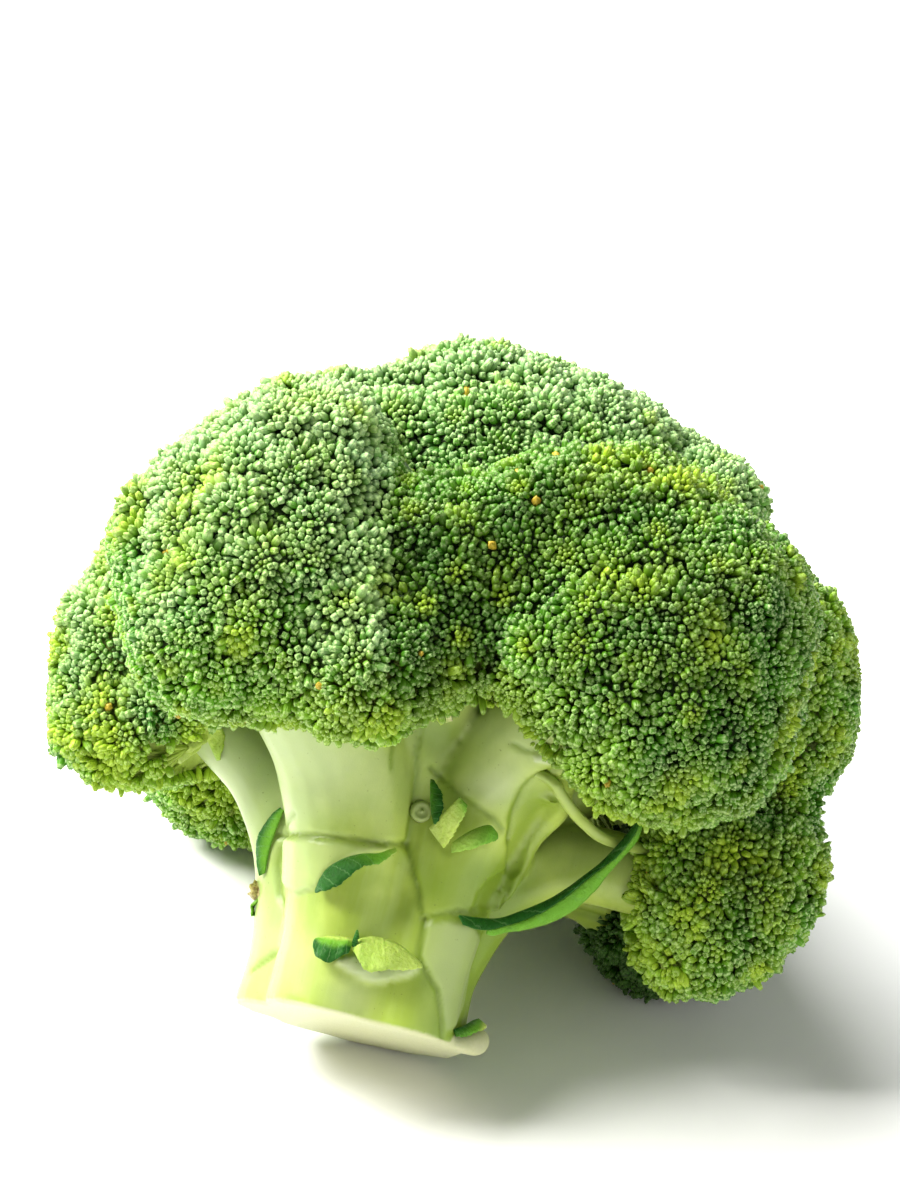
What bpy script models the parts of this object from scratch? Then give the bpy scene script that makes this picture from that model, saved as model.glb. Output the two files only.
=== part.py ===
"""A fresh broccoli head with its cut stalk, lying on a table.

It lies back on three low points: the rear edge of the cut stalk and two of the florets behind.
The stalk and its branches are one solid, each floret on a branch is a solid, and so is each
leaf that was left on the stalk.
"""

import math

import bmesh
import bpy
import numpy as np
from mathutils import Euler, Vector

MM = 0.001

# The head stands in its own frame: origin at the centre of the cut, +Z up the stalk, -Y to the
# front. An empty carries it into the pose in which it lies on the table.
LEAN_BACK = math.radians(39.0)
TILT_RIGHT = math.radians(13.5)
HEAD_AT = Vector((-18.73, -53.18, 16.5)) * MM

# Florets: name, azimuth (degrees), reach from the stalk's axis, height above the cut and radius.
FLORETS = (
    ("floret_front_left", -134, 53, 81, 29.5),
    ("floret_front_middle", -93, 41, 90, 18.0),
    ("floret_front_right", -45, 56, 84, 29.5),
    ("floret_left", 175.8, 55.1, 60.7, 23.5),
    ("floret_left_upper", 174, 38, 93, 30.0),
    ("floret_left_back", 122.5, 77.1, 55.6, 25.0),
    ("floret_right", 4, 59.5, 81.9, 25.5),
    ("floret_right_low", -4.3, 64, 43.1, 19.5),
    ("floret_right_under", 26.9, 62.4, 36.6, 17.5),
    ("floret_right_upper", 16.2, 31.5, 107.9, 26.5),
    ("floret_top", 87.8, 4.6, 111.2, 30.0),
    ("floret_back_upper", 90, 38, 101, 32.0),
    ("floret_back_left", 128, 54, 80, 30.0),
    ("floret_back_right", 48, 56, 80, 30.0),
    ("floret_back", 91, 61, 69, 26.0),
)
# Smaller swellings of the florets: azimuth, reach, height and radius.
SWELLINGS = (
    (-106, 54, 66.5, 15.5),
    (-134, 65, 65, 15.0),
    (-143, 67, 84, 15.0),
    (-129, 56, 102, 18.0),
    (-98, 48, 90, 11.5),
    (-65, 54, 80, 15.0),
    (-72, 48, 102, 14.5),
    (178.3, 57.5, 80.3, 16.0),
    (-90, 45, 75, 12.0),
    (-54, 51, 104, 18.0),
    (-40, 67, 69, 17.0),
    (-38, 65, 95, 16.0),
    (-48, 59, 64, 12.6),
    (-174.6, 65.2, 65.2, 13.0),
    (-172.6, 58.6, 49, 12.0),
    (176.1, 7.7, 122.9, 17.0),
    (1, 18, 122, 17.0),
    (-4, 70.7, 51.9, 13.0),
    (-5.6, 61.4, 30.6, 10.5),
    (-169.1, 29.7, 114.2, 15.0),
    (-3.6, 43.4, 115.5, 13.5),
    (-177.1, 65.4, 47.1, 11.0),
    (110, 50, 96, 20.0),
    (70, 52, 94, 20.0),
    (28, 50, 100, 18.0),
    (150, 52, 76, 20.0),
    (108, 68, 68, 18.0),
    (68, 66, 72, 18.0),
    (24, 64, 66, 17.0),
    (152.3, 64, 58, 16.0),
    (-2, 64, 96, 13.0),
)
BLEND = 3.0 * MM  # how softly the florets and their swellings run into each other
CROTCH = Vector((0, 0, 34)) * MM  # where the stalk divides; every floret grows away from it
BUD_PITCH = 8.2 * MM  # buds stand this far apart, larger than life
BUD_RISE = 1.2 * MM
BUD_DIP = 1.5 * MM
DOME_PITCH = 16.0 * MM  # the buds stand in small domes, this far apart
DOME_RISE = 1.2 * MM
HOLLOW_ANGLE = math.radians(46.0)  # no buds this near the branch, on a floret's underside
HOLLOW_DEPTH = 0.84  # share of the floret's depth left there
HOLLOW_KEEP = 4  # one point in this many is kept on the plain underside
FLORET_GAP = 0.2 * MM  # each floret stops this far short of the plane between it and the next

# Stalk: a core and a rib for each branch, which leaves the core and ends inside its floret.
# floret, azimuth and reach of its foot, radius there, then the reach and height of its
# bend with the radius there, and the radius of its neck.
CUT_CENTRE = Vector((0, 0, -2.2)) * MM
CUT_SLANT = math.radians(6.5)
CUT_FACING = Vector((0, -math.sin(CUT_SLANT), -math.cos(CUT_SLANT)))
CORE_RADIUS = 20.0 * MM
CORE_HEIGHT = 58.0 * MM
BRANCHES = (
    ("floret_front_left", -124, 14, 12.5, 20, 48, 14.5, 15.0),
    ("floret_front_right", -52, 14, 10.5, 19.5, 50, 11.8, 12.5),
    ("floret_left", 176, 15.5, 11.5, 28, 42, 9.0, 7.5),
    ("floret_right_low", -6, 13, 9.0, 27, 38.5, 8.2, 7.8),
    ("floret_right", 8, 12, 9.0, 24, 50, 8.5, 8.0),
    ("floret_right_under", 30, 13, 9.0, 25, 36.5, 7.6, 7.2),
    ("floret_left_back", 134, 14, 10.0, 28, 40, 9.0, 8.0),
    ("floret_back", 92, 13, 9.5, 22, 38, 9.0, 8.5),
    ("floret_back_left", 128, 12, 9.0, 22, 50, 9.0, 9.0),
    ("floret_back_right", 52, 12, 9.0, 22, 50, 9.0, 9.0),
    ("floret_front_middle", -88, 8, 8.0, 15, 58, 8.0, 7.0),
    ("floret_left_upper", 172, 7, 8.0, 14, 60, 9.0, 9.0),
    ("floret_right_upper", 12, 6, 8.0, 10, 66, 9.0, 9.0),
    ("floret_top", 90, 2, 10.0, 2, 64, 11.0, 11.0),
    ("floret_back_upper", 90, 7, 8.0, 12, 62, 9.0, 9.0),
)
NECK_SHARE = 0.62  # the neck is this share of a radius below the floret's centre
TIP_SHARE = 0.25
STALK_VOXEL = 1.7 * MM
STALK_SMOOTHING = 6
STALK_TRIANGLES = 2600
SOCKET_GAP = 0.4 * MM  # clearance between a branch and the floret that it enters
LIP = ((-24, 21.5, -1), (-12, 23, 0), (-1, 23, 0.5))  # a curl of skin at the right of the cut
LIP_RADIUS = 3.0 * MM
TWIG = ((-50, 38, 54.5), (-41.5, 40, 50.5), (-27, 42, 47.5), (-13, 51, 47))  # thin side branch
TWIG_RADIUS = 2.4 * MM

# Leaves left on the stalk, a little clear of it: name, width, share of the length at which the
# leaf is widest, how far its edges turn outwards, and points along its midrib.
LEAF_THICKNESS = 0.7 * MM
LEAVES = (
    (
        "leaf_long",
        5.0,
        0.45,
        0.7,
        ((-56, 26.0, 25.6), (-45, 25.6, 24.5), (-32, 26.5, 25.0), (-25, 30.8, 27.6))
        + ((-23, 38.0, 34.5), (-23.5, 43.5, 41.4), (-23.5, 47.5, 48.5)),
    ),
    (
        "leaf_front",
        6.0,
        0.45,
        1.0,
        ((-119, 27.2, 22.7), (-115, 27.6, 25.5), (-109, 28.4, 28.8), (-101, 28.9, 32.2))
        + ((-93, 28.2, 35.2),),
    ),
    (
        "leaf_low",
        5.4,
        0.35,
        1.0,
        ((-117, 26.4, 12.8), (-110, 25.8, 12.6), (-103, 25.2, 13.4), (-96, 24.5, 14.4))
        + ((-85, 22.9, 13.6), (-71, 23.4, 12.2)),
    ),
    (
        "leaf_forked",
        9.5,
        0.5,
        1.4,
        ((-82, 23.8, 52.0), (-78, 25.4, 47.6), (-72, 27.2, 42.6), (-65, 28.9, 40.4))
        + ((-53, 31.8, 42.4),),
    ),
    (
        "leaf_left",
        4.6,
        0.5,
        0.6,
        ((-161, 27.0, 38.1), (-160, 28.0, 34.2), (-162, 28.4, 29.5), (-165, 27.8, 24.7)),
    ),
)


BALL_ROWS = [row[1:] for row in FLORETS] + list(SWELLINGS)


def polar(azimuth, reach, height):
    """A point in the head's frame from degrees and millimetres."""
    turn = math.radians(azimuth)
    return Vector((reach * math.cos(turn), reach * math.sin(turn), height)) * MM


BALL_CENTRES = np.array([polar(*row[:3]) for row in BALL_ROWS])
BALL_RADII = np.array([row[3] for row in BALL_ROWS]) * MM


def clear_scene():
    for obj in list(bpy.data.objects):
        bpy.data.objects.remove(obj)


def new_collection(name):
    made = bpy.data.collections.new(name)
    bpy.context.scene.collection.children.link(made)
    return made


def new_object(name, mesh, collection, parent=None, material=None):
    obj = bpy.data.objects.new(name, mesh)
    collection.objects.link(obj)
    obj.parent = parent
    if material is not None:
        mesh.materials.clear()
        mesh.materials.append(material)
    return obj


def make_material(name, colour, roughness):
    material = bpy.data.materials.new(name)
    material.use_nodes = True
    shader = material.node_tree.nodes["Principled BSDF"]
    shader.inputs["Base Color"].default_value = (*colour, 1.0)
    shader.inputs["Roughness"].default_value = roughness
    shader.inputs["Metallic"].default_value = 0.0
    return material


def spiral_directions(count, axis):
    """Unit vectors in a golden-angle spiral that starts at axis, as buds are set."""
    golden = math.pi * (3 - math.sqrt(5))
    to_axis = Vector((0, 0, 1)).rotation_difference(axis).to_matrix()
    found = []
    for k in range(count):
        up = 1 - 2 * (k + 0.5) / count
        out = math.sqrt(1 - up * up)
        turn = k * golden
        found.append(to_axis @ Vector((out * math.cos(turn), out * math.sin(turn), up)))
    return found


def count_for(pitch, radius):
    """How many points this far apart a sphere of this radius holds."""
    return round(4 * math.pi * radius**2 / (math.sqrt(3) / 2 * pitch**2))


def crown_depth(points):
    """How far points lie outside the crown, negative inside: all its balls, blended softly."""
    apart = np.linalg.norm(points[:, None, :] - BALL_CENTRES, axis=2) - BALL_RADII
    return -BLEND * np.log(np.exp(-apart / BLEND).sum(axis=1))


class Floret:
    """One floret's form: its part of the crown, with small domes, hollow round its branch."""

    def __init__(self, name, azimuth, reach, height, radius):
        self.name = name
        self.centre = polar(azimuth, reach, height)
        self.radius = radius * MM
        self.growth = (self.centre - CROTCH).normalized()
        self.domes = spiral_directions(count_for(DOME_PITCH, self.radius), self.growth)

    def in_hollow(self, direction):
        return direction.angle(-self.growth) < HOLLOW_ANGLE

    def reaches(self, directions):
        """Distance from the centre to the floret's surface in each direction."""
        ways = np.array(directions)
        near = np.full(len(ways), 0.5 * self.radius)
        far = np.full(len(ways), 1.5 * self.radius)
        for _ in range(22):
            middle = (near + far) / 2
            outside = crown_depth(np.array(self.centre) + ways * middle[:, None]) > 0
            far = np.where(outside, middle, far)
            near = np.where(outside, near, middle)
        nearest = (ways @ np.array(self.domes).T).max(axis=1)
        share = np.arccos(np.clip(nearest, -1, 1)) * self.radius / (DOME_PITCH / 2)
        domed = near - DOME_RISE * np.minimum(share, 1.2) ** 2
        hollow = np.array([self.in_hollow(direction) for direction in directions])
        return np.where(hollow, near * HOLLOW_DEPTH, domed)


def bud_ball(floret):
    """The floret uncut, in its own place: a hull of spiral points, each raised as a bud."""
    bm = bmesh.new()
    directions = spiral_directions(count_for(BUD_PITCH, floret.radius), floret.growth)
    for k, direction in enumerate(directions):
        if not floret.in_hollow(direction) or k % HOLLOW_KEEP == 0:
            bm.verts.new(direction)
    bmesh.ops.convex_hull(bm, input=bm.verts)
    tips = set(bm.verts)
    ridges = list(bm.edges)
    bmesh.ops.poke(bm, faces=bm.faces[:])
    bmesh.ops.rotate_edges(bm, edges=ridges, use_ccw=False)
    ways = [vertex.co.normalized() for vertex in bm.verts]
    for vertex, way, distance in zip(bm.verts, ways, floret.reaches(ways)):
        if not floret.in_hollow(way):
            distance += BUD_RISE if vertex in tips else -BUD_DIP
        vertex.co = floret.centre + way * distance
    bmesh.ops.recalc_face_normals(bm, faces=bm.faces)
    return bm


def slice_away(bm, point, normal):
    """Cuts off what lies beyond the plane, on the side its normal points to, and closes the cut."""
    cut = bmesh.ops.bisect_plane(
        bm,
        geom=bm.verts[:] + bm.edges[:] + bm.faces[:],
        dist=1e-6,
        plane_co=point,
        plane_no=normal,
        clear_outer=True,
    )
    rim = [item for item in cut["geom_cut"] if isinstance(item, bmesh.types.BMEdge)]
    if rim:
        bmesh.ops.edgenet_fill(bm, edges=rim)


def cut_from_neighbours(bm, floret, florets):
    """Cuts the floret at the plane where it meets each neighbour, a gap short of it."""
    for other in florets:
        apart = other.centre - floret.centre
        if other is floret or apart.length > floret.radius + other.radius + 5 * BLEND:
            continue
        share = (apart.length**2 + floret.radius**2 - other.radius**2) / (2 * apart.length)
        toward = apart.normalized()
        slice_away(bm, floret.centre + toward * (share - FLORET_GAP), toward)


def table_plane(head):
    """The table's plane in the head's frame: a point on it and its downward normal."""
    to_head = head.matrix_world.inverted()
    return to_head.translation, (to_head.to_3x3() @ Vector((0, 0, -1))).normalized()


def drop_crumbs(mesh):
    """Leaves only the largest of the mesh's separate bodies, and triangles alone."""
    bm = bmesh.new()
    bm.from_mesh(mesh)
    waiting = set(bm.verts)
    bodies = []
    while waiting:
        body = set()
        edge = {waiting.pop()}
        while edge:
            body |= edge
            edge = {link.other_vert(v) for v in edge for link in v.link_edges} - body
        waiting -= body
        bodies.append(body)
    bodies.sort(key=len)
    for body in bodies[:-1]:
        bmesh.ops.delete(bm, geom=list(body), context="VERTS")
    bmesh.ops.triangulate(bm, faces=bm.faces)
    bm.to_mesh(mesh)
    bm.free()


def applied(obj):
    """The object's mesh with its modifiers worked in; the object itself is removed."""
    bpy.context.view_layer.update()
    evaluated = obj.evaluated_get(bpy.context.evaluated_depsgraph_get())
    mesh = bpy.data.meshes.new_from_object(evaluated)
    bpy.data.objects.remove(obj)
    return mesh


def make_florets(collection, head, material, cutter):
    florets = [Floret(*row) for row in FLORETS]
    table_point, down = table_plane(head)
    for floret in florets:
        bm = bud_ball(floret)
        cut_from_neighbours(bm, floret, florets)
        slice_away(bm, table_point, down)
        bmesh.ops.triangulate(bm, faces=bm.faces)
        uncut = bpy.data.meshes.new("floret_uncut")
        bm.to_mesh(uncut)
        bm.free()
        obj = new_object("floret_uncut", uncut, collection, head)
        socket = obj.modifiers.new("Branch socket", "BOOLEAN")
        socket.operation = "DIFFERENCE"
        socket.object = cutter
        mesh = applied(obj)
        mesh.name = floret.name
        drop_crumbs(mesh)
        mesh.shade_smooth()
        new_object(floret.name, mesh, collection, head, material)


def tube(points, radii, collection):
    """A smooth tube through the points, thick by the radii, as a closed mesh in the collection."""
    curve = bpy.data.curves.new("branch", "CURVE")
    curve.dimensions = "3D"
    curve.bevel_depth = 1.0
    curve.bevel_resolution = 4
    curve.resolution_u = 8
    curve.use_fill_caps = True
    spline = curve.splines.new("BEZIER")
    spline.bezier_points.add(len(points) - 1)
    for knot, point, radius in zip(spline.bezier_points, points, radii):
        knot.co = point
        knot.radius = radius
        knot.handle_left_type = knot.handle_right_type = "AUTO"
    return applied(new_object("branch", curve, collection))


def stalk_tubes():
    """(points, radii) of the core and of each branch, in the head's frame."""
    below = Vector((0, 0, -10 * MM))
    core = [below, Vector((0, 0, CORE_HEIGHT / 2)), Vector((0, 0, CORE_HEIGHT))]
    yield core, [CORE_RADIUS * 1.06, CORE_RADIUS, CORE_RADIUS * 0.9]
    florets = {row[0]: Floret(*row) for row in FLORETS}
    for name, azimuth, foot, foot_radius, reach, height, bend_radius, neck_radius in BRANCHES:
        floret = florets[name]
        side = math.degrees(math.atan2(floret.centre.y, floret.centre.x))
        bend = polar(side, reach, height)
        inward = (floret.centre - bend).normalized()
        neck = floret.centre - inward * floret.radius * NECK_SHARE
        tip = floret.centre - inward * floret.radius * TIP_SHARE
        points = [polar(azimuth, foot, -10), polar(azimuth, foot, 16), bend, neck, tip]
        radii = [foot_radius, foot_radius * 0.95, bend_radius, neck_radius, neck_radius * 0.9]
        yield points, [radius * MM for radius in radii]
    yield [polar(*point) for point in LIP], [LIP_RADIUS] * len(LIP)
    yield [polar(*point) for point in TWIG], [TWIG_RADIUS] * len(TWIG)


def rounded_corners(points):
    """The line through the points, with each corner cut once."""
    line = [points[0]]
    for a, b in zip(points, points[1:]):
        line += [a.lerp(b, 0.25), a.lerp(b, 0.75)]
    return line + [points[-1]]


def make_leaf(name, width, widest, turned_out, midrib, collection, head, material):
    """A pointed blade along its midrib, three points wide, with its back to the stalk."""
    line = rounded_corners([polar(*point) for point in midrib])
    skew = math.log(0.5) / math.log(widest)
    bm = bmesh.new()
    rows = []
    for k, point in enumerate(line):
        along = (line[min(k + 1, len(line) - 1)] - line[max(k - 1, 0)]).normalized()
        outward = Vector((point.x, point.y, 0)).normalized()
        across = along.cross(outward).normalized()
        share = (k / (len(line) - 1)) ** skew
        half = max(width * (4 * share * (1 - share)) ** 0.6, 0.8) * MM / 2
        lift = across.cross(along).normalized() * turned_out * 2 * half**2 / (width * MM)
        places = (point - across * half + lift, point, point + across * half + lift)
        rows.append([bm.verts.new(place) for place in places])
    for (a, b, c), (d, e, f) in zip(rows, rows[1:]):
        for corners in ((a, b, e), (a, e, d), (b, c, e), (c, f, e)):
            bm.faces.new(corners)
    mesh = bpy.data.meshes.new(name)
    bm.to_mesh(mesh)
    bm.free()
    mesh.shade_smooth()
    leaf = new_object(name, mesh, collection, head, material)
    blade = leaf.modifiers.new("Thickness", "SOLIDIFY")
    blade.thickness = LEAF_THICKNESS
    blade.offset = 0.0


def make_stalk(collection, cutters, head, material):
    """The stalk with all its branches as one smooth solid. Gives the cutter for the sockets."""
    bm = bmesh.new()
    for points, radii in stalk_tubes():
        mesh = tube(points, radii, cutters)
        bm.from_mesh(mesh)
        bpy.data.meshes.remove(mesh)
    bmesh.ops.remove_doubles(bm, verts=bm.verts, dist=1e-6)
    rough = bpy.data.meshes.new("stalk_tubes")
    bm.to_mesh(rough)
    bm.free()
    shape = new_object("stalk_shape", rough, cutters)
    remesh = shape.modifiers.new("Fuse", "REMESH")
    remesh.mode = "VOXEL"
    remesh.voxel_size = STALK_VOXEL
    smooth = shape.modifiers.new("Smooth", "SMOOTH")
    smooth.factor = 0.5
    smooth.iterations = STALK_SMOOTHING
    bpy.context.view_layer.update()
    evaluated = shape.evaluated_get(bpy.context.evaluated_depsgraph_get())
    reduce = shape.modifiers.new("Reduce", "DECIMATE")
    reduce.ratio = STALK_TRIANGLES / (2 * len(evaluated.data.polygons))
    mesh = applied(shape)
    bm = bmesh.new()
    bm.from_mesh(mesh)
    slice_away(bm, CUT_CENTRE, CUT_FACING)
    slice_away(bm, *table_plane(head))
    bmesh.ops.triangulate(bm, faces=bm.faces)
    bm.to_mesh(mesh)
    bm.free()
    mesh.name = "stalk"
    mesh.shade_smooth()
    new_object("stalk", mesh, collection, head, material)
    cutter = new_object("socket_cutter", mesh.copy(), cutters, head)
    grow = cutter.modifiers.new("Clearance", "DISPLACE")
    grow.direction = "NORMAL"
    grow.mid_level = 0.0
    grow.strength = SOCKET_GAP
    cutter.hide_render = True
    cutter.display_type = "WIRE"
    return cutter


def main():
    clear_scene()
    broccoli = new_collection("broccoli_head")
    cutters = new_collection("cutters")
    head = bpy.data.objects.new("head_pose", None)
    broccoli.objects.link(head)
    head.location = HEAD_AT
    head.rotation_mode = "ZYX"
    head.rotation_euler = Euler((-LEAN_BACK, TILT_RIGHT, 0), "ZYX")
    bpy.context.view_layer.update()
    stalk_green = make_material("stalk_green", (0.56, 0.70, 0.27), 0.42)
    bud_green = make_material("bud_green", (0.13, 0.30, 0.07), 0.55)
    cutter = make_stalk(broccoli, cutters, head, stalk_green)
    make_florets(broccoli, head, bud_green, cutter)
    leaf_green = make_material("leaf_green", (0.10, 0.33, 0.10), 0.45)
    for row in LEAVES:
        make_leaf(*row, broccoli, head, leaf_green)


main()
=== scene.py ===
"""The looks of a fresh broccoli head that lies on a pale floor.

Every CAD solid is replaced by finer pieces of the same form: each floret by its own buds on
their small stems, the stalk by a smooth ribbed one with its scars, each leaf by veined blades.
Lengths are in metres, and MM turns millimetres into them.
"""

import math

import bmesh
import bpy
import numpy as np
from mathutils import Euler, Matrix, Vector, noise
from mathutils.kdtree import KDTree


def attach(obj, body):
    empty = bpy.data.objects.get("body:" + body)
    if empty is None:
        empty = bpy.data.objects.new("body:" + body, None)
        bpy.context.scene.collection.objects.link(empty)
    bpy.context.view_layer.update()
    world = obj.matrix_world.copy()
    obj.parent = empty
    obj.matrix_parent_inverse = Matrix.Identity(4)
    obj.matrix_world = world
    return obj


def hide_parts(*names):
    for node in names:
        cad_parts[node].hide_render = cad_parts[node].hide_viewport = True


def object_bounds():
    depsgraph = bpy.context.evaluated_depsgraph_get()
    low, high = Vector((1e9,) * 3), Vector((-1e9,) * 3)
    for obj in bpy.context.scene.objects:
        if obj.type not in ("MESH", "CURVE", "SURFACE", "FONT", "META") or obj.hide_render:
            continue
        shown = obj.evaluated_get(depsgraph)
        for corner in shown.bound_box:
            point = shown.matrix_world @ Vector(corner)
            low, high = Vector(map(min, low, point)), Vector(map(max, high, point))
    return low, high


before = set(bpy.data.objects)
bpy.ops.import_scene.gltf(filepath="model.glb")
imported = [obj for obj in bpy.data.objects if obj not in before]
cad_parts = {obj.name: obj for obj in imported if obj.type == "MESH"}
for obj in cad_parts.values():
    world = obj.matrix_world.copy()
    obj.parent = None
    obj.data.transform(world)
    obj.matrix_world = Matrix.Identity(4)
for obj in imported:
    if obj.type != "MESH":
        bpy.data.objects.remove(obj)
CAD_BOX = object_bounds()

MM = 0.001
FLOOR_GAP = 0.05 * MM  # nothing reaches lower than this
rng = np.random.default_rng(41)

# The head's own frame, as in the part's source: origin at the centre of the cut, +Z up the
# stalk, -Y to the front. The turn and the place are those of the head as it lies on the floor.
LEAN_BACK = math.radians(39.0)
TILT_RIGHT = math.radians(13.5)
HEAD_AT = Vector((-18.73, -53.18, 16.5)) * MM
HEAD_TURN = np.array(Euler((-LEAN_BACK, TILT_RIGHT, 0), "ZYX").to_matrix())
UP = HEAD_TURN[2]  # straight up from the floor, in the head's frame

# Florets: name, azimuth (degrees), reach from the stalk's axis, height above the cut, radius,
# how yellow its buds are, how much painted shade darkens them (below zero a painted highlight
# instead: a pale sheen and bloom on them), and how far round the branch, in degrees, its
# underside is bare.
FLORETS = (
    ("front_left", -134, 53, 81, 29.5, 0.18, -0.95, 50),
    ("front_middle", -93, 41, 90, 18.0, 0.08, 0.42, 50),
    ("front_right", -45, 56, 84, 29.5, 0.18, 0.24, 50),
    ("left", 175.8, 55.1, 60.7, 23.5, 0.46, -0.95, 54),
    ("left_upper", 174, 38, 93, 30.0, 0.16, -1.10, 50),
    ("left_back", 122.5, 77.1, 55.6, 25.0, 0.32, 0.05, 26),
    ("right", 4, 59.5, 81.9, 25.5, 0.38, 0.08, 50),
    ("right_low", -4.3, 64, 43.1, 19.5, 0.32, 0.10, 40),
    ("right_under", 26.9, 62.4, 36.6, 17.5, 0.06, 0.90, 20),
    ("right_upper", 16.2, 31.5, 107.9, 26.5, 0.08, -0.80, 50),
    ("top", 87.8, 4.6, 111.2, 30.0, 0.05, -0.75, 50),
    ("back_upper", 90, 38, 101, 32.0, 0.06, -0.10, 50),
    ("back_left", 128, 54, 80, 30.0, 0.12, 0.15, 50),
    ("back_right", 48, 56, 80, 30.0, 0.10, 0.20, 50),
    ("back", 91, 61, 69, 26.0, 0.12, 0.22, 50),
)
# Smaller swellings of the florets: azimuth, reach, height and radius.
SWELLINGS = (
    (-106, 54, 66.5, 15.5),
    (-134, 65, 65, 15.0),
    (-143, 67, 84, 15.0),
    (-129, 56, 102, 18.0),
    (-98, 48, 90, 11.5),
    (-65, 54, 80, 15.0),
    (-72, 48, 102, 14.5),
    (178.3, 57.5, 80.3, 16.0),
    (-90, 45, 75, 12.0),
    (-54, 51, 104, 18.0),
    (-40, 67, 69, 17.0),
    (-38, 65, 95, 16.0),
    (-48, 59, 64, 12.6),
    (-174.6, 65.2, 65.2, 13.0),
    (-172.6, 58.6, 49, 12.0),
    (176.1, 7.7, 122.9, 17.0),
    (1, 18, 122, 17.0),
    (-4, 70.7, 51.9, 13.0),
    (-5.6, 61.4, 30.6, 10.5),
    (-169.1, 29.7, 114.2, 15.0),
    (-3.6, 43.4, 115.5, 13.5),
    (-177.1, 65.4, 47.1, 11.0),
    (110, 50, 96, 20.0),
    (70, 52, 94, 20.0),
    (28, 50, 100, 18.0),
    (150, 52, 76, 20.0),
    (108, 68, 68, 18.0),
    (68, 66, 72, 18.0),
    (24, 64, 66, 17.0),
    (152.3, 64, 58, 16.0),
    (-2, 64, 96, 13.0),
)
BLEND = 3.0 * MM  # how softly the florets and their swellings run into each other
CROTCH = np.array((0, 0, 34)) * MM  # where the stalk divides; every floret grows away from it

# Buds stand in clusters, small domes with the youngest buds in the middle.
CLUSTER_SPACING = 8.6 * MM
CLUSTER_SIZES = (0.80, 1.14)  # how much the clusters differ in size
CLUSTER_RISE = 1.5 * MM  # how far a cluster's middle stands above the crown
CLUSTER_REACH = 6.2 * MM  # where a cluster falls back to the crown's level
BUD_WIDTHS = (1.12 * MM, 1.86 * MM)  # in a cluster's middle and at its rim
BUD_CROWDING = 0.62  # area round a bud, as a share of its width squared
BUD_APART = 0.64  # the least distance between two buds, as a share of their widths
FULL_WIDTH_FROM = 4.2 * MM  # this far from a cluster's middle its buds reach their full width
CLUSTER_MOST = 9.5 * MM  # no bud stands further than this from its cluster's middle
BUD_SPREAD = 6.5 * MM  # the smaller this is, the more a cluster's buds lean apart
YOUTH_REACH = 3.4 * MM  # the young buds stand within this of a cluster's middle
BUD_SINK = 0.58  # share of a bud's length below the cluster's surface
BUD_STRETCH = (1.40, 2.25)  # length of a bud over its width
SMALL_BUD = 1.45 * MM  # buds narrower than this have the plainer form of young ones
BUD_SIZES = (0.82, 1.14)  # how much single buds differ in size
BUD_LEAN = 0.75  # how strongly they lean away from their cluster's middle
BUD_JITTER = 0.20  # and in any other way
RISE_JITTER = 0.12 * MM
RAGGED_RIM = (-0.05, 0.12)  # how unevenly the buds end at the bare underside
PROUD_SHARE = 0.05  # share of the buds that stand above the others
PROUD_RISE = 0.7 * MM
PROUD_STRETCH = 1.3
SPOILT_SHARE = 0.002  # share of the buds that have turned orange
SPOILT = 2.0  # what their tone says for yellow, where ripe buds have 1
# Lower buds fill the gaps between others, in two rounds: the least gap that a round fills, then
# the least and the most width of its buds.
GAPS = ((1.3 * MM, 1.35 * MM, 1.7 * MM), (0.95 * MM, 0.9 * MM, 1.25 * MM))
GAP_SINK = 0.5 * MM  # how much lower those buds stand
LUMP_SIZE = 2.6 * MM  # small lumps lift and lower the buds by up to LUMP_RISE
LUMP_RISE = 0.9 * MM
HOLE_SIZE = 3.4 * MM  # small holes near the lower rim
PATCH_SIZE = 11 * MM  # patches of riper buds
RIM = math.radians(88.0)  # the yellower buds of the lower rim reach this far up
CROWN_SINK = 1.5 * MM  # how far the buds stand in from the plain crown
MIDDLE_PITCH = 2.2 * MM  # how finely the crown is searched for clusters' middles
GAP_PITCH = 0.75 * MM  # and for gaps
CORE_DEPTH = 4.0 * MM  # the mass of small stems under the buds starts this deep
CORE_SUBDIVISIONS = 5
LIMB_FORK = 0.62  # share of the way from the neck to a cluster at which its limb forks
LIMB_RADII = (2.6 * MM, 1.3 * MM)
LIMB_SIDES = 7
STEM_RADII = (0.5 * MM, 0.4 * MM)  # the stem of a single bud
STEM_SIDES = 5
STEM_RINGS = (0.0, 0.35, 0.7, 1.0)  # shares of a stem's or limb's length
PIECE_FACES = 185_000  # a floret with more faces than this is several pieces
CREVICE_DEPTH = 7.0 * MM  # the crown fills the creases between its balls at most this deep

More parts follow.
